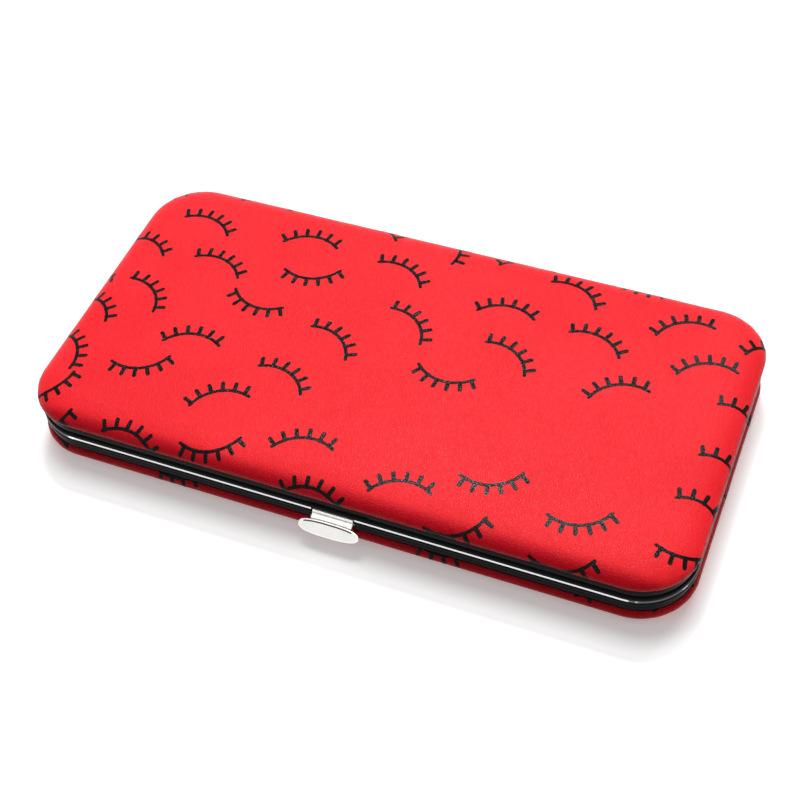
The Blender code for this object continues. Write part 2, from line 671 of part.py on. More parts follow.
def pad_outline():
    """The pad's (across, along) outline: an oval that is a little squarer than an ellipse."""
    points = []
    for step in range(PAD_STEPS):
        angle = math.tau * step / PAD_STEPS
        pair = []
        for size, share in ((PAD_WIDTH, math.cos(angle)), (PAD_DEPTH, math.sin(angle))):
            pair.append(math.copysign(abs(share) ** (2 / PAD_SQUARENESS), share) * size / 2)
        points.append(tuple(pair))
    return points


def make_pad():
    """The push pad: an oval plate, bevelled all round."""
    bm = bmesh.new()
    verts = [bm.verts.new((across, along, -PAD_THICKNESS / 2)) for across, along in pad_outline()]
    face = bm.faces.new(verts)
    grown = bmesh.ops.extrude_face_region(bm, geom=[face])
    moved = [item for item in grown["geom"] if isinstance(item, bmesh.types.BMVert)]
    bmesh.ops.translate(bm, verts=moved, vec=(0.0, 0.0, PAD_THICKNESS))
    bmesh.ops.recalc_face_normals(bm, faces=bm.faces)
    rims = [edge for edge in bm.edges if abs(edge.verts[0].co.z - edge.verts[1].co.z) < PAD_EDGE / 2]
    bmesh.ops.bevel(bm, geom=rims, offset=PAD_EDGE, segments=PAD_EDGE_STEPS,
                    profile=ROUND_PROFILE_SHARE, affect="EDGES")
    along, outward = pad_axes()
    y, z = front_point(PAD_CENTRE_INSET, PAD_CENTRE_DROP)
    place = Matrix(((1.0, 0.0, 0.0, 0.0),
                    (0.0, along[0], outward[0], y),
                    (0.0, along[1], outward[1], z),
                    (0.0, 0.0, 0.0, 1.0)))
    bm.transform(place)
    return finish("pad", bm, nickel())


def nose_points():
    """The nose: a ramp for the closing lid above its tip, and one over the catch's lip below."""
    slope = math.tan(LOCK_SLOPE)
    foot_inset = NOSE_TIP_INSET - NOSE_RAMP_DEPTH
    tip_top = NOSE_TOP_DROP + NOSE_RAMP_DEPTH * math.tan(CLOSING_SLOPE)
    tip_bottom = CATCH_LIP_TOP + SEAT_GAP * slope - SEAT_GAP / math.cos(LOCK_SLOPE)
    foot_drop = tip_bottom + NOSE_RAMP_DEPTH * slope
    return [
        (foot_inset, -NOSE_TOP_DROP),
        (NOSE_TIP_INSET, -tip_top),
        (NOSE_TIP_INSET, -tip_bottom),
        (foot_inset, -foot_drop),
    ]


def slant(point, angle, shift):
    """A line that falls outwards at an angle, through a point that is shifted inwards across it."""
    direction = Vector((-math.cos(angle), -math.sin(angle)))
    across = Vector((math.sin(angle), -math.cos(angle)))
    return Vector(point) + across * shift, direction


def crossing(first, second):
    """The (inset, rise) point where two lines cross."""
    gap = second[0] - first[0]
    share = gap.cross(second[1]) / first[1].cross(second[1])
    return tuple(first[0] + first[1] * share)


def neck_outline():
    """The neck: a nose over the catch, an upright plate that leans out, and a foot in the pad."""
    lean_end = (NECK_FOOT_INSET, -NECK_FOOT_DROP)
    seat = slant((PAD_CENTRE_INSET, -PAD_CENTRE_DROP), PAD_TILT, PAD_THICKNESS * PAD_SEAT_SHARE)
    nose = nose_points()
    under_nose = slant(nose[-1], 0.0, 0.0)
    lean_back = slant(lean_end, NECK_LEAN, NECK_THICKNESS)
    foot_back = slant(lean_end, NECK_FOOT_TILT, NECK_THICKNESS)
    back = [crossing(under_nose, lean_back), crossing(lean_back, foot_back), crossing(foot_back, seat)]
    foot = [crossing(slant(lean_end, NECK_FOOT_TILT, 0.0), seat), lean_end]
    top = quarter((NECK_FRONT_INSET + NECK_ROUND, -NECK_LEAN_DROP),
                  (NECK_ROUND, NECK_LEAN_DROP - NOSE_TOP_DROP), 0.0, 90.0, NECK_ROUND_STEPS)
    points = nose + back + foot + top
    return [(FRONT_Y + inset, SPLIT_Z + rise) for inset, rise in points]


def make_latch_tab():
    """The push tab: pad, neck with nose, and a barrel in two parts round its pin."""
    pin_y, pin_z = front_point(PIVOT_INSET, PIVOT_DROP)
    tab = extrude_along_x("latch_tab", neck_outline(), -NECK_WIDTH / 2, NECK_WIDTH / 2, nickel())
    combine(tab, make_pad(), "UNION")
    lug_y = FRONT_Y + NECK_FOOT_INSET + NECK_THICKNESS / 2
    for sign in (-1, 1):
        x_pair = sorted((sign * BARREL_SLOT / 2, sign * BARREL_LENGTH / 2))
        barrel = rod("barrel", (sum(x_pair) / 2, pin_y, pin_z), (1, 0, 0), BARREL_RADIUS,
                     x_pair[1] - x_pair[0], nickel())
        lug = box("lug", (x_pair[0], lug_y, pin_z - LUG_HEIGHT / 2),
                  (x_pair[1], pin_y, pin_z + LUG_HEIGHT / 2), nickel())
        combine(barrel, lug, "UNION")
        combine(tab, barrel, "UNION")
    bore = rod("bore", (0.0, pin_y, pin_z), (1, 0, 0), LATCH_PIN_RADIUS + LATCH_PIN_CLEARANCE,
               BARREL_LENGTH + CUT_OVERRUN, steel(), RIVET_SIDES)
    combine(tab, bore, "DIFFERENCE")
    set_origin(tab, (0.0, pin_y, pin_z))


def make_latch_spring():
    """A torsion spring round the pin, with one leg on the bracket and one under the tab's foot."""
    pin_y, pin_z = front_point(PIVOT_INSET, PIVOT_DROP)
    radius = LATCH_PIN_RADIUS + SPRING_CLEARANCE + SPRING_WIRE / 2
    length = SPRING_TURNS * SPRING_PITCH
    points = []
    count = int(SPRING_TURNS * SPRING_STEPS)
    for step in range(count + 1):
        angle = math.radians(90.0) + math.tau * SPRING_TURNS * step / count
        x = -length / 2 + length * step / count
        points.append((x, radius * math.sin(angle), radius * math.cos(angle)))
    start, end = points[0], points[-1]
    points.insert(0, (start[0], start[1], start[2] + SPRING_BACK_LEG))
    points.append((end[0], end[1] + SPRING_FRONT_LEG * math.cos(angle),
                   end[2] - SPRING_FRONT_LEG * math.sin(angle)))
    curve = bpy.data.curves.new("latch_spring", "CURVE")
    curve.dimensions = "3D"
    curve.bevel_depth = SPRING_WIRE / 2
    curve.bevel_resolution = 1
    curve.use_fill_caps = True
    spline = curve.splines.new("POLY")
    spline.points.add(len(points) - 1)
    for point, place in zip(spline.points, points):
        point.co = (*place, 1.0)
    curve.materials.append(steel())
    spring = bpy.data.objects.new("latch_spring", curve)
    spring.location = (0.0, pin_y, pin_z)
    bpy.context.scene.collection.objects.link(spring)


def make_lid_catch():
    """The catch: a foot on the lid frame's web, a tongue through its slot and a lip at the front."""
    foot_top = CATCH_FOOT_RISE + CATCH_THICKNESS
    tongue_back = CATCH_PLATE_INSET + CATCH_THICKNESS
    points = [
        (CATCH_PLATE_INSET, foot_top),
        (CATCH_PLATE_INSET, -CATCH_LIP_TOP),
        (CATCH_LIP_INSET, -CATCH_LIP_DROP),
        (CATCH_LIP_INSET, -CATCH_DROP),
        (tongue_back, -CATCH_DROP),
        (tongue_back, foot_top),
    ]
    outline = [(FRONT_Y + inset, SPLIT_Z + rise) for inset, rise in points]
    tongue = extrude_along_x("tongue", outline, -CATCH_WIDTH / 2, CATCH_WIDTH / 2, steel())
    foot = front_box("lid_catch", CATCH_FOOT_WIDTH / 2,
                     (CHANNEL_INSET + SEAT_GAP, INNER_WALL_INSET - SEAT_GAP),
                     (CATCH_FOOT_RISE, foot_top), LID_SIDE, steel())
    combine(foot, tongue, "UNION")
    for x in rivet_places(CATCH_RIVET_SPACING):
        combine(foot, catch_rivet_hole(x), "DIFFERENCE")


def make_lid():
    """The lid's layers and its frame."""
    make_lid_frame()
    make_cover("lid_cover", LID_SIDE, LID_CROWN, LID_POCKET_RISE)
    loft("lid_padding", padding_profile(LID_CROWN), LID_SIDE, foam(), False, INNER_CORNER_STEPS)
    make_shell("lid_shell", LID_SIDE, LID_POCKET_RISE)
    loft("lid_tray", tray_profile(), LID_SIDE, velvet(), False, INNER_CORNER_STEPS)


def make_base():
    """The base's layers, its frame and the magnets."""
    make_base_frame()
    make_cover("base_cover", BASE_SIDE, 0.0, POCKET_DROP)
    loft("base_padding", padding_profile(0.0), BASE_SIDE, foam(), False, INNER_CORNER_STEPS)
    make_magnets(make_shell("base_shell", BASE_SIDE, POCKET_DROP))
    loft("base_tray", tray_profile(), BASE_SIDE, velvet(), False, INNER_CORNER_STEPS)


def hang_on_hinges(prefixes):
    """Hang the lid's pieces on an empty that stands on the hinge axis."""
    pivot = bpy.data.objects.new("lid_pivot", None)
    pivot.location = (0.0, *hinge_axis())
    bpy.context.scene.collection.objects.link(pivot)
    for piece in bpy.data.objects:
        if piece.name.startswith(prefixes) and piece != pivot:
            piece.parent = pivot
            piece.location -= pivot.location


def make_latch():
    """The push tab with what carries it, and the lid's catch."""
    make_bracket()
    make_latch_pin()
    make_bracket_rivets()
    make_latch_spring()
    make_latch_tab()
    make_lid_catch()
    make_catch_rivets()


def main():
    for item in list(bpy.data.objects):
        bpy.data.objects.remove(item)
    make_base()
    make_lid()
    make_hinges()
    make_latch()
    hang_on_hinges(("lid_", "catch_rivet_"))


main()
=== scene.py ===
import json
import math

import bmesh
import bpy
from mathutils import Matrix, Vector, noise


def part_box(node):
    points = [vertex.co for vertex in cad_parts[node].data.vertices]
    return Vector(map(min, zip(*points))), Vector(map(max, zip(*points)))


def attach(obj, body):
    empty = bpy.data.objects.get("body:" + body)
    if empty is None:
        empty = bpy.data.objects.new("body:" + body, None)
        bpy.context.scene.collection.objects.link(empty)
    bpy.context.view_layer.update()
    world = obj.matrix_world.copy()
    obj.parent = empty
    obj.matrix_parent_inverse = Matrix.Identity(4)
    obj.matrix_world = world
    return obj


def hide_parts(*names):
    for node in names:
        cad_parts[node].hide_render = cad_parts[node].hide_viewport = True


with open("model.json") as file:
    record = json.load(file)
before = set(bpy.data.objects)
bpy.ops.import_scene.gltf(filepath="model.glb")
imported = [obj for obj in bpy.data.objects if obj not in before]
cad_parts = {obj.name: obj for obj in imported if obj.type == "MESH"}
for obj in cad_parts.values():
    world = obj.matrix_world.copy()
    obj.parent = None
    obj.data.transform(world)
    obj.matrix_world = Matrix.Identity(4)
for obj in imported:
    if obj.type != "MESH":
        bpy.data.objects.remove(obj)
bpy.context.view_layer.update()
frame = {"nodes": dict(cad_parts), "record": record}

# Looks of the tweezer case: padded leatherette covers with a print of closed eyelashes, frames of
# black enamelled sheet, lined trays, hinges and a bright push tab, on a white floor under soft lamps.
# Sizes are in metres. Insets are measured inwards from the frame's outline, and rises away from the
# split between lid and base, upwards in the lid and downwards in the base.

MM = 0.001

# Places read from the frame
FRAME_LOW, FRAME_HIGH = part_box("lid_frame")
BASE_FRAME_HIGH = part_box("base_frame")[1]
HALF_X = FRAME_HIGH.x
HALF_Y = FRAME_HIGH.y
SPLIT_Z = (FRAME_LOW.z + BASE_FRAME_HIGH.z) / 2
TOP_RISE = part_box("lid_cover")[1].z - SPLIT_Z
HINGE_PIN_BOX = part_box("hinge_pin_right")
LATCH_PIN_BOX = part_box("latch_pin")
HINGE_AXIS = Vector((0.0, (HINGE_PIN_BOX[0].y + HINGE_PIN_BOX[1].y) / 2, SPLIT_Z))

# Sides and resolution
LID = 1
BASE = -1
CORNER_STEPS = 20
LONG_STEPS = 60
SHORT_STEPS = 26
ROUND_SIDES = 48
SOFT_ANGLE = math.radians(38.0)
CRISP_ANGLE = math.radians(14.0)
QUARTER_TURN = math.radians(90.0)
CUT_OVERRUN = 2.0 * MM

# Frame channel
CORNER_RADIUS = 15.0 * MM
SHEET = 0.5 * MM
WALL_INSET = 0.45 * MM
BEAD_DEPTH = 0.5 * MM
BEAD_HEIGHT = 1.8 * MM
BEAD_STEPS = 22
BEAD_FLAT_ANGLE = -52.0
WEB_RISE = 0.15 * MM
OUTER_WALL_RISE = 4.1 * MM
INNER_WALL_INSET = 3.85 * MM
INNER_WALL_RISE = 4.6 * MM
EDGE_ROUND = 0.12 * MM
EDGE_STEPS = 3
NOTCH_WIDTH = 11.8 * MM
NOTCH_BACK_INSET = 3.55 * MM
NOTCH_EDGE = 0.06 * MM
NOTCH_EDGE_STEPS = 2
NOTCH_LEAST_EDGE = 0.3 * MM
NOTCH_FACE_ROOM = 0.05 * MM
SQUARE_COSINE = 0.99
CATCH_SLOT_HALF = 4.3 * MM
CATCH_SLOT_INSETS = (1.2 * MM, 3.05 * MM)
CATCH_SLOT_RISE = 0.95 * MM
CATCH_RIVET_X = 5.35 * MM
CATCH_RIVET_INSET = 2.4 * MM
BRACKET_RIVET_X = 5.975 * MM
BRACKET_RIVET_DROP = 2.4 * MM
RIVET_HOLE_RADIUS = 0.36 * MM

# Leatherette
LEATHER = 0.8 * MM
COVER_EDGE_INSET = 1.25 * MM
COVER_OVERHANG = 0.4 * MM
WIDEST_RISE = 5.9 * MM
PLATEAU_INSET = 8.6 * MM
SHOULDER_WIDTH = 9.0 * MM
ROLL_HEIGHT = 1.5 * MM
TUCK_RISE = 0.95 * MM
CROWN_INSET = 26.0 * MM
LID_CROWN = 0.3 * MM
PLATEAU_RINGS = 4
SHOULDER_RINGS = 14
ROLL_RINGS = 8
TUCK_RINGS = 3
SECTION_STEPS = 400
SWELL_SIZE = 16.0 * MM
SWELL_HEIGHT = 0.05 * MM
PUCKERS = 5
PUCKER_HEIGHT = 0.035 * MM
POCKET_HALF = 6.9 * MM
LID_POCKET_RISE = 2.11 * MM
BASE_POCKET_RISE = 4.849 * MM

# Foam under the leatherette
FOAM_TOP_RISE = 8.4 * MM
FOAM_OUTER_WIDTH = 7.9 * MM
FOAM_INNER_WIDTH = 6.55 * MM
FOAM_INNER_HEIGHT = 2.6 * MM
FOAM_INNER_START = 30.0
FOAM_STEPS = 12
FOAM_SWELL = 0.03 * MM
FOAM_SWELL_SIZE = 5.0 * MM

# Lined trays
TRAY_INSET = 4.65 * MM
TRAY_THICKNESS = 0.6 * MM
TRAY_RIM_RISE = 0.35 * MM
TRAY_FLOOR_RISE = 5.4 * MM
TRAY_CORNER = (2.0 * MM, 1.5 * MM)
TRAY_STEPS = 10
TRAY_RIM_STEPS = 8
TRAY_WAVE = 0.025 * MM
TRAY_WAVE_SIZE = 12.0 * MM

# Hinges
HINGE_X = 55.0 * MM
HINGE_HALF = 7.5 * MM
KNUCKLE_RADIUS = 1.15 * MM
KNUCKLE_EDGE = 0.12 * MM
LID_KNUCKLE_HALF = 3.0 * MM
BASE_KNUCKLE_START = 3.2 * MM
KNUCKLE_ROOM = 0.3 * MM
BORE_RADIUS = 0.61 * MM
LEAF_TRIM = 0.2 * MM
LEAF_GAP = 0.3 * MM
LEAF_THICKNESS = 0.5 * MM
LEAF_NECK_RISE = 0.575 * MM
LEAF_BEAD_RISE = 2.25 * MM
LEAF_RISE = 3.8 * MM
LEAF_CORNER = 0.9 * MM
LEAF_CORNER_STEPS = 8
LEAF_EDGE = 0.16 * MM
WELD_PLACES = (-4.6 * MM, 0.0, 4.6 * MM)
WELD_RISE = 2.85 * MM
WELD_RADIUS = 0.9 * MM
WELD_DEPTH = 0.07 * MM
HINGE_PIN_RADIUS = 0.55 * MM
PIN_HEAD_RADIUS = 0.85 * MM
PIN_HEAD_HEIGHT = 0.4 * MM
PIN_HEAD_STEPS = 8
PIN_TIP_SHARE = 0.05

# Push tab
PAD_CENTRE = Vector((0.0, -49.0, 6.601)) * MM
PAD_TILT = math.radians(48.0)
PAD_WIDTH = 16.5 * MM
PAD_DEPTH = 4.1 * MM
PAD_THICKNESS = 1.2 * MM
PAD_EDGE = 0.38 * MM
PAD_EDGE_STEPS = 6
PAD_SQUARENESS = 2.8
PAD_SIDES = 112
PAD_DOME = 0.07 * MM
PAD_RINGS = 6
GROOVE_MARGIN = 0.45 * MM
GROOVE_WIDTH = 0.36 * MM
GROOVE_DEPTH = 0.42 * MM
GROOVE_X = (-6.9 * MM, 6.2 * MM)
GROOVE_STEPS = 40
NECK_HALF = 5.55 * MM
NECK_ROUND = 0.3 * MM
NECK_EDGE = 0.05 * MM
NECK_LINE = (
    (1.0, -0.45), (1.35, -0.45), (1.95, -1.05), (1.95, -1.12), (1.35, -2.159), (0.301, -2.159),
    (-0.722, -3.836), (-3.71, -4.358), (-2.949, -3.513), (-1.358, -2.045), (-0.05, -1.4),
)
NECK_TOP_CENTRE = (0.55 * MM, -1.4 * MM)
NECK_TOP_RADII = (0.6 * MM, 0.95 * MM)
NECK_TOP_STEPS = 8
BARREL_RADIUS = 0.75 * MM
BARREL_ENDS = (1.7 * MM, 4.7 * MM)
BARREL_EDGE = 0.08 * MM
BARREL_BORE = 0.41 * MM
LUG_HEIGHT = 0.8 * MM
LUG_INSET = -0.825 * MM

# Print
LASH_CHORD = 15.6 * MM
LASH_SAGITTA = 3.35 * MM
LASH_LINE = 0.92 * MM
LASH_TICK_WIDTH = 1.12 * MM
LASH_TICK_LENGTH = 2.5 * MM
LASH_TICKS = (-42.6, -26.4, -10.2, 6.0, 22.2, 38.4)
LASH_TICK_LEAN = 0.87
INK_TOP = 0.03 * MM
INK_BOTTOM = -0.03 * MM
INK_STEP = 0.6 * MM
INK_END_STEPS = 3
INK_END_SHARE = 0.05
INK_LAYER = 0.004 * MM

# Figures on the lid's flat sheet: the middle of the chord in mm and the tilt in degrees
LID_LASHES = (
    (-71.5, 30.0, -13), (-39.7, 32.4, 8), (-11.3, 29.4, -21), (-34.9, 23.2, 196), (-85.6, 16.9, -12),
    (-61.2, 15.8, -15), (-44.6, 8.5, 171), (-76.4, -0.4, -39), (-19.8, -0.5, -32), (-2.5, 11.8, -39),
    (13.6, 0.0, 178), (21.6, 24.2, 5), (36.6, 37.2, -24), (47.2, 21.4, -18), (26.6, 9.3, -31),
    (58.2, 7.0, 26), (68.4, 33.7, 27), (77.4, 21.4, 21), (92.3, 34.1, 21), (89.8, 9.3, -23),
    (89.6, -7.9, -22), (87.7, -22.3, -21), (86.9, -31.8, 200), (-55.0, -12.5, 11), (-26.8, -16.7, -21),
    (-65.4, -21.9, 204), (-38.8, -28.3, 29), (-11.9, -35.4, 15), (36.0, -27.6, 200), (16.4, -40.0, 14),
    (60.0, -31.9, 200), (-56.8, -47.8, -12), (-35.4, -40.6, 203), (-4.8, -48.7, -2), (32.1, -43.7, 206),
    (59.6, -44.9, 192), (-86.2, -36.9, 222), (-87.2, -24.9, -50), (-88.3, -8.8, -28), (-96.1, 7.2, 165),
    (-81.9, -46.7, 207), (-90.5, 43.8, 195), (-59.3, 44.8, 2), (-25.0, 44.2, -16),
    (-2.6, 44.8, 298), (21.2, 43.9, 12), (53.6, 49.7, 176),
)

# Figures on the base's flat sheet
BASE_LASHES = (
    (70, 31, 12), (41, 33, -14), (12, 29, 20), (33, 20, 163), (61, 15, 16), (43, 6, 188), (76, 1, 33),
    (21, -1, 28), (2, 13, 35), (-15, -2, 180), (-22, 25, -8), (-37, 37, 18), (-48, 21, 14),
    (-28, 9, 30), (-57, 6, -25), (-67, 33, -28), (-78, 20, -24), (54, -13, -11), (26, -17, 19),
    (63, -24, 159), (38, -29, -27), (11, -34, -16), (-9, -19, 192), (-38, -27, 162), (-17, -38, -14),
    (-60, -14, 20), (-62, -33, 163), (-86, -20, 30), (-86, 4, 25), (86, -8, 25), (86, 18, 12),
    (-43.0, -53.6, -27), (-84.4, -43.6, 139), (30.3, -53.5, -20), (66.5, -55.2, 5),
    (88.9, -40.5, 236),
)

# Grain and film sizes
PEBBLE = 0.62 * MM
PEBBLE_DRIFT = 0.35 * MM
PEBBLE_DRIFT_SIZE = 0.9 * MM
FINE_GRAIN = 0.28 * MM
SOFT_GRAIN = 1.4 * MM
GRAIN_DEPTH = 0.042 * MM
INK_GRAIN_DEPTH = 0.026 * MM
CREASE_SIZE = 0.5 * MM
CREASE_DEPTH = 0.09 * MM
CREASE_START = 30.0 * MM
CREASE_FULL = 42.0 * MM
PATCH_SIZE = 22.0 * MM
GLEAM_START = 0.31 * MM
GLEAM_END = 0.39 * MM
GLEAM_INSETS = (0.5 * MM, 0.62 * MM)
# Painted shade on the leatherette: it darkens below a rise from the split and within insets of the front
# edge
EDGE_PAINTED_SHADE_RISE = 5.0 * MM
EDGE_PAINTED_SHADE_END = 7.4 * MM
FRONT_PAINTED_SHADE_INSETS = (0.6 * MM, 4.2 * MM)
INK_WEAR_SIZE = 2.4 * MM
PEEL_SIZE = 1.6 * MM
PEEL_DEPTH = 0.0015 * MM
DUST_SIZE = 6.0 * MM
RUB_SIZE = 0.16 * MM
RUB_DEPTH = 0.0012 * MM
FILM_SIZE = 3.5 * MM
# Spots of the painted shade in the push tab's groove
GROOVE_SHADE_SPOT_SIZE = 0.5 * MM
GROOVE_SHADE_SPOT_DEPTH = 0.002 * MM
PILE_SIZE = 0.14 * MM
PILE_DEPTH = 0.05 * MM
NAP_SIZE = 9.0 * MM
FOAM_CELL = 0.35 * MM
FOAM_CELL_DEPTH = 0.05 * MM
FIBRE_SIZE = 0.5 * MM
FIBRE_DEPTH = 0.02 * MM
GRIT_SIZE = 0.4 * MM
GRIT_DEPTH = 0.01 * MM

# Camera
CAMERA_PLACE = (0.11704, -0.24337, 0.32198)
CAMERA_TURN = (40.0731, 3.3942, 21.7494)
CAMERA_LENS = 69.293
CLIP_START = 0.01
CLIP_END = 20.0

# Stage: each lamp's name, place, aim, the run of its long side, size and power in watts
FLOOR_DROP = 0.06 * MM
FLOOR_SIZE = 6.0
FLOOR_LIFT = 0.3
FLOOR_MIRRORED = 0.5
FLOOR_NEAR = 0.35
FLOOR_FAR = 1.1
LAMPS = (
    ("key", (-0.2, 0.42, 1.64), (0.0, 0.0, 0.0), (1.0, 0.0, 0.0), (0.6, 0.6), 13.5),
    ("spark", (-0.32, 0.84, 1.44), (0.0, 0.0, 0.0), (1.0, 0.0, 0.0), (0.36, 0.12), 10.0),
    ("overhead", (0.0, 0.05, 1.6), (0.0, 0.0, 0.0), (1.0, 0.0, 0.0), (1.2, 1.2), 2.2),
    ("strip", (-0.4, -0.702, 1.083), (-0.4, -0.046, 0.009), (1.0, 0.0, 0.0), (0.98, 0.034), 0.8),
    ("left", (-1.08, -0.37, 0.755), (-0.08, -0.04, 0.0), (-0.67, 0.64, -0.61), (1.1, 0.035), 0.9),
    ("right", (0.66, -0.21, 0.93), (0.08, -0.03, 0.0), (0.905, 0.945, -0.34), (1.3, 0.06), 0.9),
    ("rim", (0.2, 1.1, 1.27), (0.08, 0.0, 0.0), (1.0, 0.0, 0.0), (0.6, 0.16), 6.5),
)
AMBIENT = 0.04


def even_steps(start, length, count):
    """Values from a start, evenly spaced over a length."""
    return [start + length * step / count for step in range(count + 1)]


def arc_rows(centre, radii, start, end, steps):
    """Places and normals of an ellipse about (inset, rise), with angles in degrees from outside."""
    rows = []
    for degrees in even_steps(start, end - start, steps):
        outward = math.cos(math.radians(degrees))
        away = math.sin(math.radians(degrees))
        normal = Vector((outward / radii[0], away / radii[1])).normalized()
        rows.append((centre[0] - radii[0] * outward, centre[1] + radii[1] * away, normal.x, normal.y))
    return rows


def arc(centre, radii, start, end, steps):
    """The places alone of arc_rows."""
    return [row[:2] for row in arc_rows(centre, radii, start, end, steps)]


class Section:
    """The shoulder and the roll under it, tabled by arc length."""

    def __init__(self, top):
        shoulder = arc_rows((PLATEAU_INSET, WIDEST_RISE), (SHOULDER_WIDTH, top - WIDEST_RISE),
                            90.0, 0.0, SECTION_STEPS)
        roll = arc_rows((COVER_EDGE_INSET, WIDEST_RISE), (COVER_EDGE_INSET + COVER_OVERHANG, ROLL_HEIGHT),
                        0.0, -90.0, SECTION_STEPS)
        self.rows = shoulder + roll[1:]
        self.lengths = [0.0]
        for near, far in zip(self.rows, self.rows[1:]):
            self.lengths.append(self.lengths[-1] + math.hypot(far[0] - near[0], far[1] - near[1]))
        self.shoulder_length = self.lengths[len(shoulder) - 1]
        self.length = self.lengths[-1]

    def at(self, distance):
        low, high = 0, len(self.lengths) - 1
        while high - low > 1:
            middle = (low + high) // 2
            if self.lengths[middle] > distance:
                high = middle
            else:
                low = middle
        share = (distance - self.lengths[low]) / (self.lengths[high] - self.lengths[low])
        share = min(max(share, 0.0), 1.0)
        return [a + (b - a) * share for a, b in zip(self.rows[low], self.rows[high])]


PLATEAU_REACH = CORNER_RADIUS - PLATEAU_INSET
CORE_X = HALF_X - CORNER_RADIUS
CORE_Y = HALF_Y - CORNER_RADIUS
CROWNS = {LID: LID_CROWN, BASE: 0.0}
SECTIONS = {side: Section(TOP_RISE - CROWNS[side]) for side in (LID, BASE)}


def clamp(value, limit):
    return min(max(value, -limit), limit)


def smooth(value):
    """Ease a share from 0 to 1."""
    value = min(max(value, 0.0), 1.0)
    return value * value * (3.0 - 2.0 * value)


def ring_sites():
    """Return (core x, core y, normal x, normal y) for each place round the outline."""
    sites = []
    for corner in range(4):
        edge_x = CORE_X if corner in (0, 3) else -CORE_X
        edge_y = CORE_Y if corner in (0, 1) else -CORE_Y
        for step in range(CORNER_STEPS + 1):
            angle = QUARTER_TURN * (corner + step / CORNER_STEPS)
            sites.append((edge_x, edge_y, math.cos(angle), math.sin(angle)))
        along_x = corner in (0, 2)
        count = LONG_STEPS if along_x else SHORT_STEPS
        for step in range(1, count):
            share = 1.0 - 2.0 * step / count
            if along_x:
                sites.append((edge_x * share, edge_y, 0.0, math.copysign(1.0, edge_y)))
            else:
                sites.append((edge_x, edge_y * share, math.copysign(1.0, edge_x), 0.0))
    return sites


SITES = ring_sites()


def plain_ring(inset, rise, side):
    """Points round the outline at an inset and a rise."""
    reach = CORNER_RADIUS - inset
    z = SPLIT_Z + side * rise
    return [Vector((x + nx * reach, y + ny * reach, z)) for x, y, nx, ny in SITES]


def grid_sites():
    """The core's inner grid as rows of (x, y)."""
    rows = []
    for row in range(SHORT_STEPS + 1):
        y = CORE_Y * (2.0 * row / SHORT_STEPS - 1.0)
        rows.append([(CORE_X * (2.0 * column / LONG_STEPS - 1.0), y) for column in range(LONG_STEPS + 1)])
    return rows


def core_keys():
    """The grid's (row, column) for each place round the outline."""
    keys = []
    for x, y, _, _ in SITES:
        row = round((y / CORE_Y + 1.0) * SHORT_STEPS / 2)
        column = round((x / CORE_X + 1.0) * LONG_STEPS / 2)
        keys.append((row, column))
    return keys


def swell(u, v, distance, side):
    """Small unevenness of the stretched leather, along its normal."""
    if side == BASE and distance < 0.0:
        return 0.0
    wave = noise.noise(Vector((u, v, side * SWELL_SIZE)) / SWELL_SIZE)
    height = SWELL_HEIGHT * wave
    if side == BASE:
        height *= smooth(distance / SHOULDER_WIDTH)
    if distance > 0.0:
        reach_x = abs(u) - CORE_X
        reach_y = abs(v) - CORE_Y
        if reach_x > 0.0 and reach_y > 0.0:
            angle = math.atan2(reach_y, reach_x) / QUARTER_TURN
            fold = math.sin(math.pi * angle) * math.cos(math.tau * PUCKERS * angle)
            height += PUCKER_HEIGHT * fold * smooth(distance / SHOULDER_WIDTH)
    return height


def plateau_rise(inset, side):
    crown = CROWNS[side]
    share = smooth((inset - PLATEAU_INSET) / (CROWN_INSET - PLATEAU_INSET))
    return TOP_RISE - crown + crown * share


def wrap(u, v, side, lift=0.0, uneven=True):
    """Return where a point of the flat sheet lies on a cover, lifted off along its normal."""
    near_x = clamp(u, CORE_X)
    near_y = clamp(v, CORE_Y)
    reach = math.hypot(u - near_x, v - near_y)
    distance = reach - PLATEAU_REACH
    if distance <= 0.0:
        inset = CORNER_RADIUS - reach
        if reach == 0.0:
            inset += min(CORE_X - abs(u), CORE_Y - abs(v))
        rise = plateau_rise(inset, side)
        place = Vector((u, v, SPLIT_Z + side * rise))
        normal = Vector((0.0, 0.0, side))
    else:
        inset, rise, outward, away = SECTIONS[side].at(distance)
        nx = (u - near_x) / reach
        ny = (v - near_y) / reach
        out = CORNER_RADIUS - inset
        place = Vector((near_x + nx * out, near_y + ny * out, SPLIT_Z + side * rise))
        normal = Vector((nx * outward, ny * outward, side * away))
    if uneven:
        lift += swell(u, v, distance, side)
    return place + normal * lift


def sheet_ring(reach, side, lift=0.0, uneven=True):
    """Points round a cover at a distance of the flat sheet from the core."""
    return [wrap(x + nx * reach, y + ny * reach, side, lift, uneven) for x, y, nx, ny in SITES]


def finish(name, bm, *materials):
    """Turn a bmesh into a named, smoothly shaded object with outward faces."""
    bmesh.ops.recalc_face_normals(bm, faces=bm.faces)
    mesh = bpy.data.meshes.new(name)
    bm.to_mesh(mesh)
    bm.free()
    mesh.shade_smooth()
    mesh.set_sharp_from_angle(angle=SOFT_ANGLE)
    for material in materials:
        mesh.materials.append(material)
    piece = bpy.data.objects.new(name, mesh)
    bpy.context.scene.collection.objects.link(piece)
    return piece


def bridge(bm, near, far):
    """Join two rings of vertices by quads, or triangles where a vertex repeats."""
    for index in range(len(near)):
        corners = []
        for vert in (near[index - 1], near[index], far[index], far[index - 1]):
            if vert not in corners:
                corners.append(vert)
        if len(corners) > 2:
            bm.faces.new(corners)


def skin(bm, rings):
    """Join rings of points in a row, and return their vertices."""
    rows = [[bm.verts.new(point) for point in points] for points in rings]
    for near, far in zip(rows, rows[1:]):
        bridge(bm, near, far)
    return rows


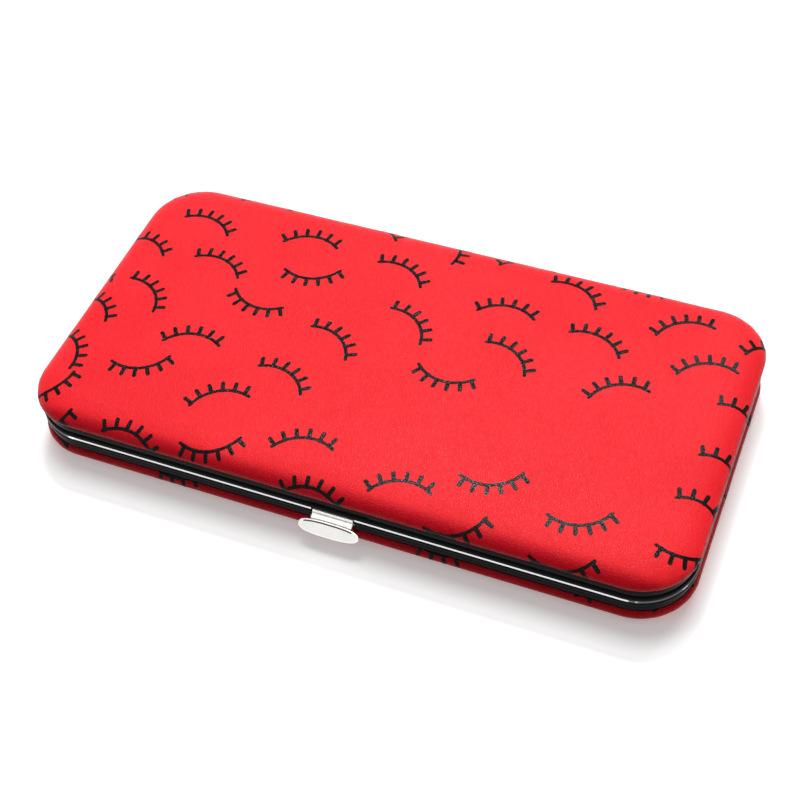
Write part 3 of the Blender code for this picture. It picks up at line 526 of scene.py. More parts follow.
def solid(name, rings, *materials):
    """A closed solid through a row of rings."""
    bm = bmesh.new()
    rows = skin(bm, rings)
    bm.faces.new(rows[0])
    bm.faces.new(rows[-1])
    return finish(name, bm, *materials)


def add_field(bm, ring, place):
    """Fill a ring with the core's grid, placed by a function of (x, y)."""
    rows = [[bm.verts.new(place(x, y)) for x, y in row] for row in grid_sites()]
    for low, high in zip(rows, rows[1:]):
        for column in range(len(low) - 1):
            bm.faces.new((low[column], low[column + 1], high[column + 1], high[column]))
    edge = [rows[row][column] for row, column in core_keys()]
    bridge(bm, ring, edge)


def loft(name, profile, side, material):
    """Carry a closed cross-section of (inset, rise) round the outline."""
    bm = bmesh.new()
    rows = skin(bm, [plain_ring(inset, rise, side) for inset, rise in profile])
    bridge(bm, rows[-1], rows[0])
    return finish(name, bm, material)


def dish(name, rings, first_place, last_place, material):
    """A closed shell: rings from the middle of one face, round the edge, to that of the other."""
    bm = bmesh.new()
    rows = skin(bm, rings)
    add_field(bm, rows[0], first_place)
    add_field(bm, rows[-1], last_place)
    return finish(name, bm, material)


def bake(piece):
    """Apply a piece's modifiers to its mesh."""
    graph = bpy.context.evaluated_depsgraph_get()
    old = piece.data
    piece.data = bpy.data.meshes.new_from_object(piece.evaluated_get(graph))
    piece.modifiers.clear()
    bpy.data.meshes.remove(old)
    piece.data.name = piece.name


def combine(piece, tools, operation, sharp=SOFT_ANGLE):
    """Cut the tools out of a piece, or join them to it, and remove them."""
    for tool in tools:
        modifier = piece.modifiers.new(operation.lower(), "BOOLEAN")
        modifier.operation = operation
        modifier.object = tool
        modifier.solver = "EXACT"
        bake(piece)
        bpy.data.objects.remove(tool)
    piece.data.shade_smooth()
    piece.data.set_sharp_from_angle(angle=sharp)


def box(name, low, high, *materials):
    """A box between two corners."""
    low, high = Vector(low), Vector(high)
    bm = bmesh.new()
    place = Matrix.Translation((low + high) / 2) @ Matrix.Diagonal((*(high - low), 1.0))
    bmesh.ops.create_cube(bm, size=1.0, matrix=place)
    return finish(name, bm, *materials)


def rod(low, high, radius):
    """A round cutter between two points."""
    turn = Vector((0.0, 0.0, 1.0)).rotation_difference(high - low).to_matrix().to_4x4()
    bm = bmesh.new()
    bmesh.ops.create_cone(bm, cap_ends=True, segments=ROUND_SIDES, radius1=radius, radius2=radius,
                          depth=(high - low).length, matrix=Matrix.Translation((low + high) / 2) @ turn)
    return finish("hole", bm)


def lathe(name, centre, profile, *materials):
    """Turn a profile of (x, radius) about an axis along X."""
    rings = []
    for along, radius in profile:
        ring = []
        for step in range(ROUND_SIDES):
            angle = math.tau * step / ROUND_SIDES
            spoke = Vector((0.0, math.cos(angle), math.sin(angle))) * radius
            ring.append(centre + Vector((along, 0.0, 0.0)) + spoke)
        rings.append(ring)
    return solid(name, rings, *materials)


def chamfered(low, high, radius, edge):
    """Profile of a rod with broken edges."""
    return [(low, radius - edge), (low + edge, radius), (high - edge, radius), (high, radius - edge)]


def cut_box(name, x_pair, y_pair, rises, side):
    """A box to cut with, between two places along X and Y and two rises."""
    z_pair = sorted(SPLIT_Z + side * rise for rise in rises)
    return box(name, *zip(x_pair, y_pair, z_pair))


def front_box(name, half_width, insets, rises, side):
    """A box to cut with at the middle of the front."""
    return cut_box(name, (-half_width, half_width), [inset - HALF_Y for inset in insets], rises, side)


class Nodes:
    """A node tree, with helpers that add nodes and link them."""

    def __init__(self, tree):
        self.tree = tree

    def put(self, socket, value):
        if isinstance(value, bpy.types.NodeSocket):
            self.tree.links.new(value, socket)
        else:
            socket.default_value = value

    def add(self, kind, inputs, **settings):
        node = self.tree.nodes.new("ShaderNode" + kind)
        for name, value in settings.items():
            setattr(node, name, value)
        for name, value in inputs.items():
            self.put(node.inputs[name], value)
        return node

    def math(self, operation, *values):
        return self.add("Math", dict(enumerate(values)), operation=operation).outputs[0]

    def seen_strength(self, plain, seen, mirrored):
        """A strength: plain for the light itself, and more where it is seen or mirrored."""
        rays = self.add("LightPath", {}).outputs
        gloss = self.math("MAXIMUM", rays["Is Glossy Ray"], rays["Is Transmission Ray"])
        strength = self.math("MULTIPLY_ADD", gloss, mirrored, plain)
        return self.math("MULTIPLY_ADD", rays["Is Camera Ray"], seen, strength)


class Shade(Nodes):
    """A procedural material."""

    def __init__(self, name):
        self.material = bpy.data.materials.new(name)
        self.material.use_nodes = True
        super().__init__(self.material.node_tree)
        self.shader = self.tree.nodes["Principled BSDF"]
        self.place = self.add("TexCoord", {}).outputs["Object"]

    def set(self, **inputs):
        """Feed the shader's sockets, named in lower case."""
        for name, value in inputs.items():
            self.put(self.shader.inputs[name.replace("_", " ").title()], value)

    def plain(self, name, value):
        """Set a value that is the same all over the surface."""
        self.shader.inputs[name].default_value = value

    def dress(self, colour, pattern, levels, roughness, depth):
        """Set the colour, and a roughness and relief that follow a pattern."""
        self.set(base_color=colour, roughness=self.span(pattern, levels, roughness),
                 normal=self.bump(pattern, depth))
        return self.material

    def stretched(self, stretch):
        return self.add("Mapping", {"Vector": self.place, "Scale": stretch}).outputs["Vector"]

    def warped(self, size, amount):
        """The place, pushed about by a noise."""
        drift = self.add("TexNoise", {"Vector": self.place, "Scale": 1.0 / size, "Detail": 1.0})
        return self.vector("MULTIPLY_ADD", drift.outputs["Color"], (amount, amount, amount), self.place)

    def noise(self, size, detail=2.0, roughness=0.5, place=None):
        node = self.add("TexNoise", {"Vector": place or self.place, "Scale": 1.0 / size,
                                     "Detail": detail, "Roughness": roughness})
        return node.outputs["Fac"]

    def cells(self, size, place=None):
        """Distance from the edges of a pattern of cells."""
        node = self.add("TexVoronoi", {"Vector": place or self.place, "Scale": 1.0 / size},
                        feature="DISTANCE_TO_EDGE")
        return node.outputs["Distance"]

    def vector(self, operation, *values):
        return self.add("VectorMath", dict(enumerate(values)), operation=operation).outputs["Vector"]

    def reach(self, place):
        """The length of a vector."""
        return self.add("VectorMath", {0: place}, operation="LENGTH").outputs["Value"]

    def axis(self, name):
        return self.add("SeparateXYZ", {"Vector": self.place}).outputs[name]

    def from_split(self):
        """How far the place lies above or below the split."""
        return self.math("ABSOLUTE", self.math("SUBTRACT", self.axis("Z"), SPLIT_Z))

    def inset(self):
        """How far the place lies inside the frame's rounded outline."""
        flat = self.vector("MULTIPLY", self.place, (1.0, 1.0, 0.0))
        past = self.vector("SUBTRACT", self.vector("ABSOLUTE", flat), (CORE_X, CORE_Y, 0.0))
        past = self.vector("MAXIMUM", past, (0.0, 0.0, 0.0))
        return self.math("SUBTRACT", CORNER_RADIUS, self.reach(past))

    def span(self, value, source, target=(0.0, 1.0), blend="SMOOTHSTEP"):
        """Map a value from one range to another, and hold it there."""
        node = self.add("MapRange", {"Value": value, "From Min": source[0], "From Max": source[1],
                                     "To Min": target[0], "To Max": target[1]}, interpolation_type=blend)
        return node.outputs["Result"]

    def mix(self, factor, first, second):
        node = self.add("Mix", {}, data_type="RGBA")
        for index, value in ((0, factor), (6, first), (7, second)):
            self.put(node.inputs[index], value)
        return node.outputs[2]

    def tone(self, pattern, levels, first, second):
        """A colour that turns from one to another as a pattern crosses two levels."""
        return self.mix(self.span(pattern, levels), first, second)

    def bump(self, height, depth, **normal):
        inputs = {"Height": height, "Distance": depth, "Strength": 1.0}
        return self.add("Bump", inputs | normal).outputs["Normal"]


def rgb(red, green, blue):
    return (red, green, blue, 1.0)


def eased(points, radius):
    """Round the corners of an open line of points."""
    made = [points[0]]
    for before, corner, after in zip(points, points[1:], points[2:]):
        corner = Vector(corner)
        back = Vector(before) - corner
        on = Vector(after) - corner
        reach = min(radius, back.length / 2, on.length / 2)
        start = corner + back.normalized() * reach
        end = corner + on.normalized() * reach
        for share in even_steps(0.0, 1.0, EDGE_STEPS):
            low = start.lerp(corner, share)
            high = corner.lerp(end, share)
            made.append(tuple(low.lerp(high, share)))
    made.append(points[-1])
    return made


def leather_grain(shade):
    """Pebbles of the pressed grain as a height from 0 to 1."""
    pebbles = shade.cells(PEBBLE, shade.warped(PEBBLE_DRIFT_SIZE, PEBBLE_DRIFT))
    raised = shade.span(pebbles, (0.0, 0.24))
    fine = shade.noise(FINE_GRAIN, 3.0, 0.6)
    soft = shade.noise(SOFT_GRAIN, 1.0)
    total = shade.math("MULTIPLY_ADD", fine, 0.45, raised)
    return shade.math("MULTIPLY_ADD", soft, 0.5, total)


def leather_creases(shade):
    """Fine stretch lines that run over the long shoulders, as a height from 0 to 1."""
    near_edge = shade.span(shade.math("ABSOLUTE", shade.axis("Y")), (CREASE_START, CREASE_FULL))
    lines = shade.noise(CREASE_SIZE, 2.0, 0.55, shade.stretched((1.0, 0.14, 0.14)))
    return shade.math("MULTIPLY", near_edge, lines)


def make_leather():
    """Red imitation leather: a fine pressed grain with a satin finish, and painted shade that darkens it
    near the split and along the front edge.
    """
    shade = Shade("red_leatherette")
    grain = leather_grain(shade)
    patches = shade.noise(PATCH_SIZE, 2.0)
    raised = shade.tone(patches, (0.3, 0.7), rgb(0.86, 0.014, 0.022), rgb(0.92, 0.018, 0.027))
    tone = shade.tone(grain, (0.2, 0.7), rgb(0.79, 0.010, 0.020), raised)
    # Painted shade: the colour darkens near the split and along the front edge, standing in for the shade on
    # the lower shoulder and roll
    edge = shade.span(shade.from_split(), (EDGE_PAINTED_SHADE_RISE, EDGE_PAINTED_SHADE_END), (0.8, 0.0))
    front = [inset - HALF_Y for inset in FRONT_PAINTED_SHADE_INSETS]
    edge = shade.math("MAXIMUM", edge, shade.span(shade.axis("Y"), front, (1.0, 0.0)))
    creases = shade.bump(leather_creases(shade), CREASE_DEPTH)
    shade.set(base_color=shade.mix(edge, tone, rgb(0.46, 0.0005, 0.008)),
              roughness=shade.span(grain, (0.2, 1.5), (0.47, 0.33)),
              normal=shade.bump(grain, GRAIN_DEPTH, Normal=creases))
    shade.plain("Specular IOR Level", 0.1)
    return shade.material


def make_ink():
    """Gloss black print that follows the grain under it."""
    shade = Shade("black_print")
    worn = shade.noise(INK_WEAR_SIZE, 4.0, 0.6)
    colour = shade.tone(worn, (0.35, 0.7), rgb(0.002, 0.0018, 0.002), rgb(0.004, 0.0035, 0.0035))
    shade.set(base_color=colour, roughness=shade.span(worn, (0.3, 0.7), (0.10, 0.19)),
              normal=shade.bump(leather_grain(shade), INK_GRAIN_DEPTH))
    shade.plain("Specular IOR Level", 0.07)
    return shade.material


def make_enamel():
    """Gloss black stoving enamel with a trace of orange peel, polished where the beads meet."""
    shade = Shade("black_enamel")
    peel = shade.noise(PEEL_SIZE, 2.0)
    dust = shade.noise(DUST_SIZE, 5.0, 0.65)
    gleam = shade.span(shade.from_split(), (GLEAM_START, GLEAM_END), (1.0, 0.0))
    gleam = shade.math("MULTIPLY", gleam, shade.span(shade.inset(), GLEAM_INSETS, (1.0, 0.0)))
    shade.set(base_color=shade.tone(dust, (0.4, 0.75), rgb(0.002, 0.002, 0.0022), rgb(0.004, 0.004, 0.0045)),
              roughness=shade.span(dust, (0.3, 0.8), (0.08, 0.16)), coat_weight=gleam,
              normal=shade.bump(peel, PEEL_DEPTH))
    shade.plain("Specular IOR Level", 0.04)
    shade.plain("Coat Roughness", 0.06)
    shade.plain("Coat IOR", 2.0)
    return shade.material


def make_metal(name, bright, dull, roughness, stretch):
    """Plated or drawn metal with fine rubbing marks along one axis."""
    shade = Shade(name)
    marks = shade.noise(RUB_SIZE, 3.0, 0.6, shade.stretched(stretch))
    film = shade.noise(FILM_SIZE, 4.0, 0.6)
    mottle = shade.math("MULTIPLY_ADD", marks, 0.5, film)
    shade.set(base_color=shade.tone(film, (0.35, 0.7), bright, dull),
              roughness=shade.span(mottle, (0.4, 1.1), roughness), normal=shade.bump(marks, RUB_DEPTH))
    shade.plain("Metallic", 1.0)
    return shade.material


def make_groove_painted_shade():
    """Dark metal in the push tab's groove: painted shade that stands in for the shade in the groove."""
    shade = Shade("groove_painted_shade")
    spots = shade.noise(GROOVE_SHADE_SPOT_SIZE, 3.0, 0.6)
    shade.plain("Metallic", 0.6)
    colour = shade.mix(spots, rgb(0.10, 0.06, 0.03), rgb(0.26, 0.17, 0.09))
    return shade.dress(colour, spots, (0.3, 0.7), (0.5, 0.7), GROOVE_SHADE_SPOT_DEPTH)


def make_velvet():
    """Short black velvet with a brushed nap."""
    shade = Shade("black_velvet")
    pile = shade.noise(PILE_SIZE, 2.0, 0.6)
    nap = shade.noise(NAP_SIZE, 3.0, 0.55, shade.stretched((0.6, 1.0, 1.0)))
    shade.plain("Sheen Weight", 0.45)
    shade.plain("Sheen Roughness", 0.35)
    shade.plain("Sheen Tint", rgb(0.75, 0.77, 0.85))
    colour = shade.tone(nap, (0.35, 0.65), rgb(0.010, 0.010, 0.012), rgb(0.026, 0.026, 0.030))
    return shade.dress(colour, pile, (0.2, 0.8), (0.85, 1.0), PILE_DEPTH)


def make_foam():
    """Cream closed-cell foam."""
    shade = Shade("foam")
    cells = shade.cells(FOAM_CELL)
    colour = shade.tone(cells, (0.0, 0.3), rgb(0.62, 0.56, 0.42), rgb(0.82, 0.78, 0.66))
    return shade.dress(colour, cells, (0.0, 0.4), (1.0, 0.85), FOAM_CELL_DEPTH)


def make_board():
    """Dark pressed board with short fibres."""
    shade = Shade("moulded_board")
    fibres = shade.noise(FIBRE_SIZE, 4.0, 0.65, shade.stretched((0.3, 1.0, 1.0)))
    colour = shade.mix(fibres, rgb(0.02, 0.019, 0.018), rgb(0.06, 0.055, 0.05))
    return shade.dress(colour, fibres, (0.2, 0.8), (0.55, 0.8), FIBRE_DEPTH)


def make_magnet():
    """Brown-black flexible magnet strip."""
    shade = Shade("magnet_strip")
    grit = shade.noise(GRIT_SIZE, 4.0, 0.7)
    colour = shade.mix(grit, rgb(0.012, 0.010, 0.009), rgb(0.035, 0.028, 0.024))
    return shade.dress(colour, grit, (0.2, 0.8), (0.5, 0.75), GRIT_DEPTH)


def make_cover(name, side, pocket_rise, material):
    """One half's leatherette, from the plateau over the shoulder and the roll into the channel."""
    shape = SECTIONS[side]
    roll_start = PLATEAU_REACH + shape.shoulder_length
    reaches = even_steps(0.0, PLATEAU_REACH, PLATEAU_RINGS)[1:-1]
    reaches += even_steps(PLATEAU_REACH, shape.shoulder_length, SHOULDER_RINGS)
    reaches += even_steps(roll_start, shape.length - shape.shoulder_length, ROLL_RINGS)[1:]
    inner_inset = COVER_EDGE_INSET + LEATHER
    roll_foot = WIDEST_RISE - ROLL_HEIGHT
    tuck_rises = even_steps(TUCK_RISE, roll_foot - TUCK_RISE, TUCK_RINGS)[:-1]
    rings = [sheet_ring(reach, side) for reach in reaches]
    rings += [plain_ring(COVER_EDGE_INSET, rise, side) for rise in reversed(tuck_rises)]
    rings += [plain_ring(inner_inset, rise, side) for rise in tuck_rises + [roll_foot + LEATHER]]
    rings += [sheet_ring(reach, side, -LEATHER, False) for reach in reversed(reaches)]
    cover = dish(name, rings, lambda x, y: wrap(x, y, side),
                 lambda x, y: wrap(x, y, side, -LEATHER, False), material)
    pocket = front_box("pocket", POCKET_HALF, (-CUT_OVERRUN, INNER_WALL_INSET),
                       (-CUT_OVERRUN, pocket_rise), side)
    combine(cover, [pocket], "DIFFERENCE")
    return cover


def foam_swell(place):
    """Small unevenness of the foam's outer face, always inwards."""
    return FOAM_SWELL * (noise.noise(place / FOAM_SWELL_SIZE) - 1.0) / 2


def make_foam_layer(name, side, material):
    """The foam under one cover: a domed outer face, a soft edge and an inner face on the shell."""
    crown = CROWNS[side]
    edge_rise = FOAM_TOP_RISE - crown
    inner_rise = INNER_WALL_RISE + FOAM_INNER_HEIGHT
    outer = arc((PLATEAU_INSET, WIDEST_RISE), (FOAM_OUTER_WIDTH, edge_rise - WIDEST_RISE),
                    90.0, 0.0, FOAM_STEPS)
    inner = arc((PLATEAU_INSET, INNER_WALL_RISE), (FOAM_INNER_WIDTH, FOAM_INNER_HEIGHT),
                    FOAM_INNER_START, 90.0, FOAM_STEPS)
    first = [(CORNER_RADIUS - PLATEAU_REACH / 2, edge_rise)]
    last = [(CORNER_RADIUS - PLATEAU_REACH / 2, inner_rise)]
    outer_count = len(first) + len(outer)

    def dimpled(point):
        return point + Vector((0.0, 0.0, side * foam_swell(point)))

    def top(x, y):
        inset = CORNER_RADIUS + min(CORE_X - abs(x), CORE_Y - abs(y))
        rise = plateau_rise(inset, side) - TOP_RISE + FOAM_TOP_RISE
        return dimpled(Vector((x, y, SPLIT_Z + side * rise)))

    rings = []
    for index, (inset, rise) in enumerate(first + outer + inner + last):
        ring = plain_ring(inset, rise, side)
        rings.append([dimpled(point) for point in ring] if index < outer_count - 1 else ring)
    return dish(name, rings, top, lambda x, y: Vector((x, y, SPLIT_Z + side * inner_rise)), material)


def make_tray(name, side, material):
    """A lined tray: a rolled rim at the split, an upright wall, a round corner and a soft floor."""
    centre = (TRAY_INSET + TRAY_CORNER[0], TRAY_FLOOR_RISE - TRAY_CORNER[1])
    inner_radii = (TRAY_CORNER[0] - TRAY_THICKNESS, TRAY_CORNER[1] - TRAY_THICKNESS)
    half = TRAY_THICKNESS / 2
    outer = arc(centre, TRAY_CORNER, 90.0, 0.0, TRAY_STEPS)
    rim = arc((TRAY_INSET + half, TRAY_RIM_RISE + half), (half, half), 0.0, -180.0, TRAY_RIM_STEPS)
    inner = arc(centre, inner_radii, 0.0, 90.0, TRAY_STEPS)
    floor_rise = TRAY_FLOOR_RISE - TRAY_THICKNESS

    def floor(x, y):
        wave = TRAY_WAVE * noise.noise(Vector((x, y, side * TRAY_WAVE_SIZE)) / TRAY_WAVE_SIZE)
        fade = smooth(min(CORE_X - abs(x), CORE_Y - abs(y)) / TRAY_WAVE_SIZE)
        return Vector((x, y, SPLIT_Z + side * (floor_rise + wave * fade)))

    rings = [plain_ring(inset, rise, side) for inset, rise in outer + rim + inner]
    return dish(name, rings, lambda x, y: Vector((x, y, SPLIT_Z + side * TRAY_FLOOR_RISE)), floor, material)


def stroke_rows(points, width):
    """Return (place, across, half width) rows along a stroke with round ends."""
    half = width / 2
    ends = []
    for step in range(INK_END_STEPS):
        angle = QUARTER_TURN * (1.0 - step / INK_END_STEPS)
        ends.append((half * math.sin(angle), half * max(math.cos(angle), INK_END_SHARE)))
    first = (points[1] - points[0]).normalized()
    last = (points[-1] - points[-2]).normalized()
    rows = [(points[0] - first * ahead, Vector((-first.y, first.x)), narrow) for ahead, narrow in ends]
    for index, point in enumerate(points):
        before = points[max(index - 1, 0)]
        after = points[min(index + 1, len(points) - 1)]
        along = (after - before).normalized()
        rows.append((point, Vector((-along.y, along.x)), half))
    rows += [(points[-1] + last * ahead, Vector((-last.y, last.x)), narrow)
             for ahead, narrow in reversed(ends)]
    return rows


def add_stroke(bm, points, width, side, lift):
    """Lay a thin closed strip of ink along a line of the flat sheet."""
    near = None
    for place, across, half in stroke_rows(points, width):
        left = place + across * half
        right = place - across * half
        spots = [(left, INK_BOTTOM), (left, lift), (place, lift), (right, lift), (right, INK_BOTTOM)]
        far = [bm.verts.new(wrap(spot.x, spot.y, side, height)) for spot, height in spots]
        if near:
            bridge(bm, near, far)
        else:
            bm.faces.new(far)
        near = far
    bm.faces.new(near)


def on_sheet(point, side):
    """Whether a point lies on the leather that shows, before it is tucked in."""
    near = Vector((clamp(point.x, CORE_X), clamp(point.y, CORE_Y)))
    return (point - near).length <= PLATEAU_REACH + SECTIONS[side].length


def lash_lines(x, y, tilt):
    """The lines of one figure: an arc, and the ticks that stand on it, leaning to its middle."""
    half = LASH_CHORD / 2
    radius = (half * half + LASH_SAGITTA * LASH_SAGITTA) / (2 * LASH_SAGITTA)
    spread = math.asin(half / radius)
    turn = Matrix.Rotation(math.radians(tilt), 2)
    middle = Vector((x, y))
    drop = Vector((0.0, radius - LASH_SAGITTA))

    def spot(angle, lean, height):
        foot = Vector((math.sin(angle), math.cos(angle))) * radius
        rise = Vector((math.sin(lean), math.cos(lean))) * height
        return turn @ (foot + rise - drop) + middle

    count = round(2 * spread * radius / INK_STEP)
    arc = [spot(spread * (2.0 * step / count - 1.0), 0.0, 0.0) for step in range(count + 1)]
    lines = [(arc, LASH_LINE)]
    tick_count = round(LASH_TICK_LENGTH / INK_STEP)
    for degrees in LASH_TICKS:
        angle = math.radians(degrees)
        tick = [spot(angle, angle * LASH_TICK_LEAN, height)
                for height in even_steps(0.0, LASH_TICK_LENGTH, tick_count)]
        lines.append((tick, LASH_TICK_WIDTH))
    return lines


def kept_stretches(points, side):
    """Split a line where it leaves the printed sheet."""
    stretch = []
    for point in points:
        if on_sheet(point, side):
            stretch.append(point)
        elif stretch:
            yield stretch
            stretch = []
    if stretch:
        yield stretch


def make_print(name, side, lashes, material):
    """All figures of one cover as thin strips of ink that follow the leather."""
    bm = bmesh.new()
    for x, y, tilt in lashes:
        for order, (points, width) in enumerate(lash_lines(x * MM, y * MM, tilt)):
            for stretch in kept_stretches(points, side):
                if len(stretch) > 1:
                    add_stroke(bm, stretch, width, side, INK_TOP + INK_LAYER * order)
    return finish(name, bm, material)


def frame_profile():
    """The U channel with its bead, flattened towards the split, and rounded sheet edges."""
    bead = arc((BEAD_DEPTH, WEB_RISE + BEAD_HEIGHT / 2), (BEAD_DEPTH, BEAD_HEIGHT / 2),
                   BEAD_FLAT_ANGLE, 90.0, BEAD_STEPS)
    corners = [
        bead[-1],
        (WALL_INSET, WEB_RISE + BEAD_HEIGHT),
        (WALL_INSET, OUTER_WALL_RISE),
        (WALL_INSET + SHEET, OUTER_WALL_RISE),
        (WALL_INSET + SHEET, WEB_RISE + SHEET),
        (INNER_WALL_INSET, WEB_RISE + SHEET),
        (INNER_WALL_INSET, INNER_WALL_RISE),
        (INNER_WALL_INSET + SHEET, INNER_WALL_RISE),
        (INNER_WALL_INSET + SHEET, WEB_RISE),
        (BEAD_DEPTH, WEB_RISE),
    ]
    return bead + eased(corners, EDGE_ROUND)[1:]


def front_hole(x, inset, rise, along, side):
    """Cutter for a rivet hole through the front of a frame."""
    middle = Vector((x, inset - HALF_Y, SPLIT_Z + side * rise))
    return rod(middle - along * CUT_OVERRUN, middle + along * CUT_OVERRUN, RIVET_HOLE_RADIUS)


def make_lid_frame(material):
    """The lid's frame, with a slot for the catch and its rivet holes."""
    ring = loft("lid_rim", frame_profile(), LID, material)
    upright = Vector((0.0, 0.0, 1.0))
    cutters = [front_box("slot", CATCH_SLOT_HALF, CATCH_SLOT_INSETS, (-CUT_OVERRUN, CATCH_SLOT_RISE), LID)]
    cutters += [front_hole(sign * CATCH_RIVET_X, CATCH_RIVET_INSET, 0.0, upright, LID) for sign in (-1, 1)]
    combine(ring, cutters, "DIFFERENCE", CRISP_ANGLE)
    return ring


def soften_notch(ring):
    """Break the long edges of the notch's two cut ends."""
    bm = bmesh.new()
    bm.from_mesh(ring.data)

    def on_cut(face):
        off = abs(abs(face.calc_center_median().x) - NOTCH_WIDTH / 2)
        return abs(face.normal.x) > SQUARE_COSINE and off < NOTCH_FACE_ROOM

    edges = [edge for edge in bm.edges
             if edge.calc_length() > NOTCH_LEAST_EDGE and any(on_cut(face) for face in edge.link_faces)]
    bmesh.ops.bevel(bm, geom=edges, offset=NOTCH_EDGE, segments=NOTCH_EDGE_STEPS, profile=0.5,
                    affect="EDGES")
    bm.to_mesh(ring.data)
    bm.free()
    ring.data.set_sharp_from_angle(angle=CRISP_ANGLE)


def make_base_frame(material):
    """The base's frame, with the notch for the push tab and the bracket's rivet holes."""
    ring = loft("base_rim", frame_profile(), BASE, material)
    inwards = Vector((0.0, 1.0, 0.0))
    cutters = [front_box("notch", NOTCH_WIDTH / 2, (-CUT_OVERRUN, NOTCH_BACK_INSET),
                         (-CUT_OVERRUN, OUTER_WALL_RISE + CUT_OVERRUN), BASE)]
    cutters += [front_hole(sign * BRACKET_RIVET_X, INNER_WALL_INSET, BRACKET_RIVET_DROP, inwards, BASE)
                for sign in (-1, 1)]
    combine(ring, cutters, "DIFFERENCE", CRISP_ANGLE)
    soften_notch(ring)
    return ring


def leaf_section(x, top, side):
    """The outline of a hinge leaf at one place along X, up to a rise."""
    bead_y = HALF_Y + LEAF_GAP
    outer_y = bead_y + LEAF_THICKNESS
    wall_y = HALF_Y - WALL_INSET + LEAF_GAP
    rises = [(bead_y, LEAF_NECK_RISE), (outer_y, LEAF_NECK_RISE), (outer_y, top), (wall_y, top),
             (wall_y, LEAF_BEAD_RISE), (bead_y, LEAF_BEAD_RISE)]
    return [Vector((x, y, SPLIT_Z + side * rise)) for y, rise in eased(rises, LEAF_EDGE)]


def leaf_plate(name, x, side, material):
    """A hinge leaf's plate, with round corners at its far edge."""
    half = HINGE_HALF - LEAF_TRIM
    stations = [(-half + LEAF_CORNER * (1.0 - math.cos(angle)),
                 LEAF_RISE - LEAF_CORNER * (1.0 - math.sin(angle)))
                for angle in even_steps(0.0, QUARTER_TURN, LEAF_CORNER_STEPS)]
    stations += [(-along, top) for along, top in reversed(stations)]
    return solid(name, [leaf_section(x + along, top, side) for along, top in stations], material)


def make_leaf(name, x, side, spans, windows, material):
    """A hinge leaf: a plate that is cut free for the other leaf's knuckles, its own, and a bore."""
    leaf = leaf_plate(name, x, side, material)
    axis = HINGE_AXIS + Vector((x, 0.0, 0.0))
    outer_y = HALF_Y + LEAF_GAP + LEAF_THICKNESS
    cutters = [cut_box("window", (x + low - LEAF_TRIM, x + high + LEAF_TRIM),
                       (HALF_Y - CUT_OVERRUN, HALF_Y + CUT_OVERRUN),
                       (-CUT_OVERRUN, KNUCKLE_RADIUS + KNUCKLE_ROOM), side) for low, high in windows]
    cutters += [weld_dimple(Vector((x + along, outer_y, SPLIT_Z + side * WELD_RISE)))
                for along in WELD_PLACES]
    combine(leaf, cutters, "DIFFERENCE")
    knuckles = [lathe("knuckle", axis, chamfered(low, high, KNUCKLE_RADIUS, KNUCKLE_EDGE), material)
                for low, high in spans]
    combine(leaf, knuckles, "UNION")
    reach = HINGE_HALF + CUT_OVERRUN
    bore = lathe("bore", axis, [(-reach, BORE_RADIUS), (reach, BORE_RADIUS)])
    combine(leaf, [bore], "DIFFERENCE")
    return leaf


def weld_dimple(middle):
    """Cutter for the shallow dimple of a spot weld in a leaf's outer face."""
    ball = (WELD_RADIUS * WELD_RADIUS + WELD_DEPTH * WELD_DEPTH) / (2 * WELD_DEPTH)
    bm = bmesh.new()
    bmesh.ops.create_uvsphere(bm, u_segments=ROUND_SIDES * 4, v_segments=ROUND_SIDES * 2, radius=ball,
                              matrix=Matrix.Translation(middle + Vector((0.0, ball - WELD_DEPTH, 0.0))))
    return finish("dimple", bm)


def make_pin(name, x, material):
    """A hinge pin with a domed head at each end."""
    low, high = HINGE_PIN_BOX
    seat = (high.x - low.x) / 2 - PIN_HEAD_HEIGHT
    end = [(seat, HINGE_PIN_RADIUS)]
    for angle in even_steps(0.0, QUARTER_TURN, PIN_HEAD_STEPS):
        reach = PIN_HEAD_RADIUS * max(math.cos(angle), PIN_TIP_SHARE)
        end.append((seat + PIN_HEAD_HEIGHT * math.sin(angle), reach))
    profile = [(-along, radius) for along, radius in reversed(end)] + end
    return lathe(name, HINGE_AXIS + Vector((x, 0.0, 0.0)), profile, material)


def pad_outline(inwards):
    """The pad's (across, along) outline, drawn in by a margin."""
    points = []
    for step in range(PAD_SIDES):
        angle = math.tau * step / PAD_SIDES
        pair = []
        for size, share in ((PAD_WIDTH, math.cos(angle)), (PAD_DEPTH, math.sin(angle))):
            half = size / 2 - inwards
            pair.append(math.copysign(abs(share) ** (2 / PAD_SQUARENESS), share) * half)
        points.append(pair)
    return points


def pad_matrix():
    """Place of the pad: X across, Y along it away from the case, Z out of its face."""
    along = Vector((0.0, -math.cos(PAD_TILT), -math.sin(PAD_TILT)))
    outward = Vector((0.0, -math.sin(PAD_TILT), math.cos(PAD_TILT)))
    return Matrix.LocRotScale(PAD_CENTRE, Matrix(((1.0, 0.0, 0.0), along, outward)).transposed(), None)


def make_pad(metals):
    """The pad: an oval with rounded edges, a slightly domed face and a groove under its top edge."""
    half = PAD_THICKNESS / 2
    rows = [(PAD_EDGE * (1.0 - math.sin(angle)), PAD_EDGE * (1.0 - math.cos(angle)) - half)
            for angle in even_steps(0.0, QUARTER_TURN, PAD_EDGE_STEPS)]
    rows += [(inwards, -height - PAD_DOME) for inwards, height in reversed(rows)]
    rings = [[(across, along, height) for across, along in pad_outline(inwards)] for inwards, height in rows]
    for step in range(1, PAD_RINGS):
        share = 1.0 - step / PAD_RINGS
        height = half - PAD_DOME * share * share
        rings.append([(across * share, along * share, height) for across, along in pad_outline(PAD_EDGE)])
    pad = solid("pad", rings, *metals)
    combine(pad, [pad_groove(metals)], "DIFFERENCE")
    pad.data.transform(pad_matrix())
    return pad


